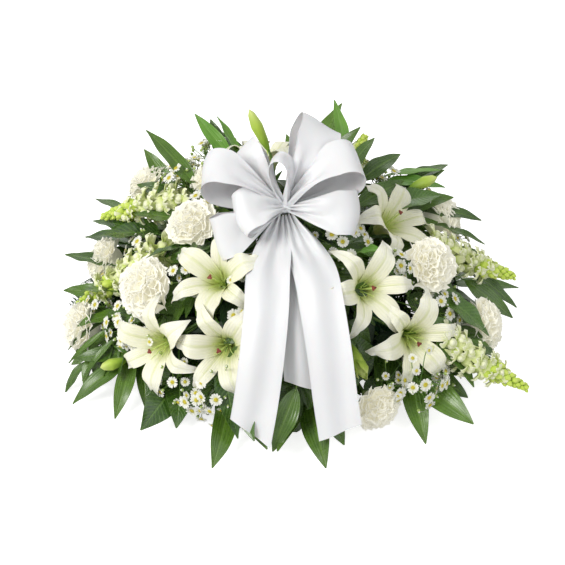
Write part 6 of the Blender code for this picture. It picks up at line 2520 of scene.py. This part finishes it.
@dataclass(frozen=True)
class Studio:
    """The plain floor, the soft lights and the camera.

    Args:
        rise: the camera's angle above the level.
        distance: from the camera to what it looks at.
        target: what it looks at.
        half_view: half of the view's width at that distance.
        floor_glow: how much the floor glows for the camera, which keeps it white.
        sky: how strong the even light is.
    """

    rise: float = 40.0
    distance: float = 2.4
    target: Place = (0.0, 0.0, 0.10)
    half_view: float = 0.438
    floor_glow: float = 0.75
    sky: float = 0.55

    def camera(self) -> None:
        """Sets the camera at the photograph's angle."""
        data = bpy.data.cameras.new("camera")
        data.sensor_width = 36.0
        data.lens = 36.0 / 2 / (self.half_view / self.distance)
        made = linked("camera", data)
        back = heading(0, self.rise)
        made.location = Vector(self.target) + back * self.distance
        made.rotation_mode = "QUATERNION"
        made.rotation_quaternion = (-back).to_track_quat("-Z", "Y")
        data.clip_end = 20.0
        bpy.context.scene.camera = made

    def light(self, name: str, at: Vector, size: float, power: float, tint: Colour) -> None:
        """Adds a soft square light that points at the spray."""
        data = bpy.data.lights.new(name, "AREA")
        data.shape, data.size, data.energy, data.color = "SQUARE", size, power, tint
        made = linked(name, data)
        made.location = at
        made.rotation_mode = "QUATERNION"
        made.rotation_quaternion = (Vector(self.target) - at).to_track_quat("-Z", "Y")

    def build(self, groups: Groups) -> None:
        """Makes the floor, the lights and the sky."""
        mesh = bpy.data.meshes.new("floor")
        mesh.from_pydata([(-6, -6, 0), (6, -6, 0), (6, 6, 0), (-6, 6, 0)], [], [(0, 1, 2, 3)])
        floor = linked("floor", mesh)
        m = Material("floor_white", groups)
        seen = m.nodes.add("ShaderNodeLightPath").outputs["Is Camera Ray"]
        m.nodes.feed(m.shader.inputs["Emission Strength"], m.nodes.times(seen, self.floor_glow))
        mesh.materials.append(m.finish((0.80, 0.80, 0.80, 1.0), 0.9, Specular_IOR_Level=0.0,
                                       Emission_Color=(1.0, 1.0, 1.0, 1.0)))
        self.light("key", Vector((-1.3, -0.9, 1.7)), 0.9, 32.0, (1.0, 0.985, 0.96))
        self.light("fill", Vector((1.5, -0.9, 1.3)), 1.6, 8.0, (0.96, 0.98, 1.0))
        self.light("rim", Vector((0.2, 1.8, 1.5)), 1.4, 9.0, (1.0, 1.0, 1.0))
        world = bpy.data.worlds.new("studio")
        world.use_nodes = True
        sky = world.node_tree.nodes["Background"]
        sky.inputs[0].default_value, sky.inputs[1].default_value = (1.0, 1.0, 1.0, 1.0), self.sky
        bpy.context.scene.world = world
        bpy.context.scene.view_settings.view_transform = "Standard"


def dress(growth: Growth) -> None:
    """Gives the solids that stay their finishes."""
    for node, finish in (("tray", "tray_plastic"), ("foam", "wet_foam"), ("bow_pick", "pick_wood")):
        mesh = frame["nodes"][node].data
        mesh.materials.clear()
        mesh.materials.append(growth.finishes[finish])
        LOG.info("%s: %s", node, finish)


def main() -> None:
    """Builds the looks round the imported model."""
    logging.basicConfig(level=logging.INFO, format="%(message)s")
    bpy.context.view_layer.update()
    studio = Studio()
    studio.camera()
    groups = effect_groups()
    growth = Growth({finish.name: finish.build(groups) for finish in FINISHES})
    dress(growth)
    Greenery(growth).build()
    Filler().build(growth)
    Accents().build(growth)
    lily = LilyShape()
    for bloom in LILIES:
        lily.bloom(bloom, growth)
    for plan in LILY_STEMS:
        lily.stem(plan, growth)
    lily.lone_bud(TOP_BUD, growth)
    for shape in (CarnationShape(), SnapdragonShape(), AsterShape(), Bow()):
        shape.build(growth)
    studio.build(groups)


if __name__ == "__main__":
    main()
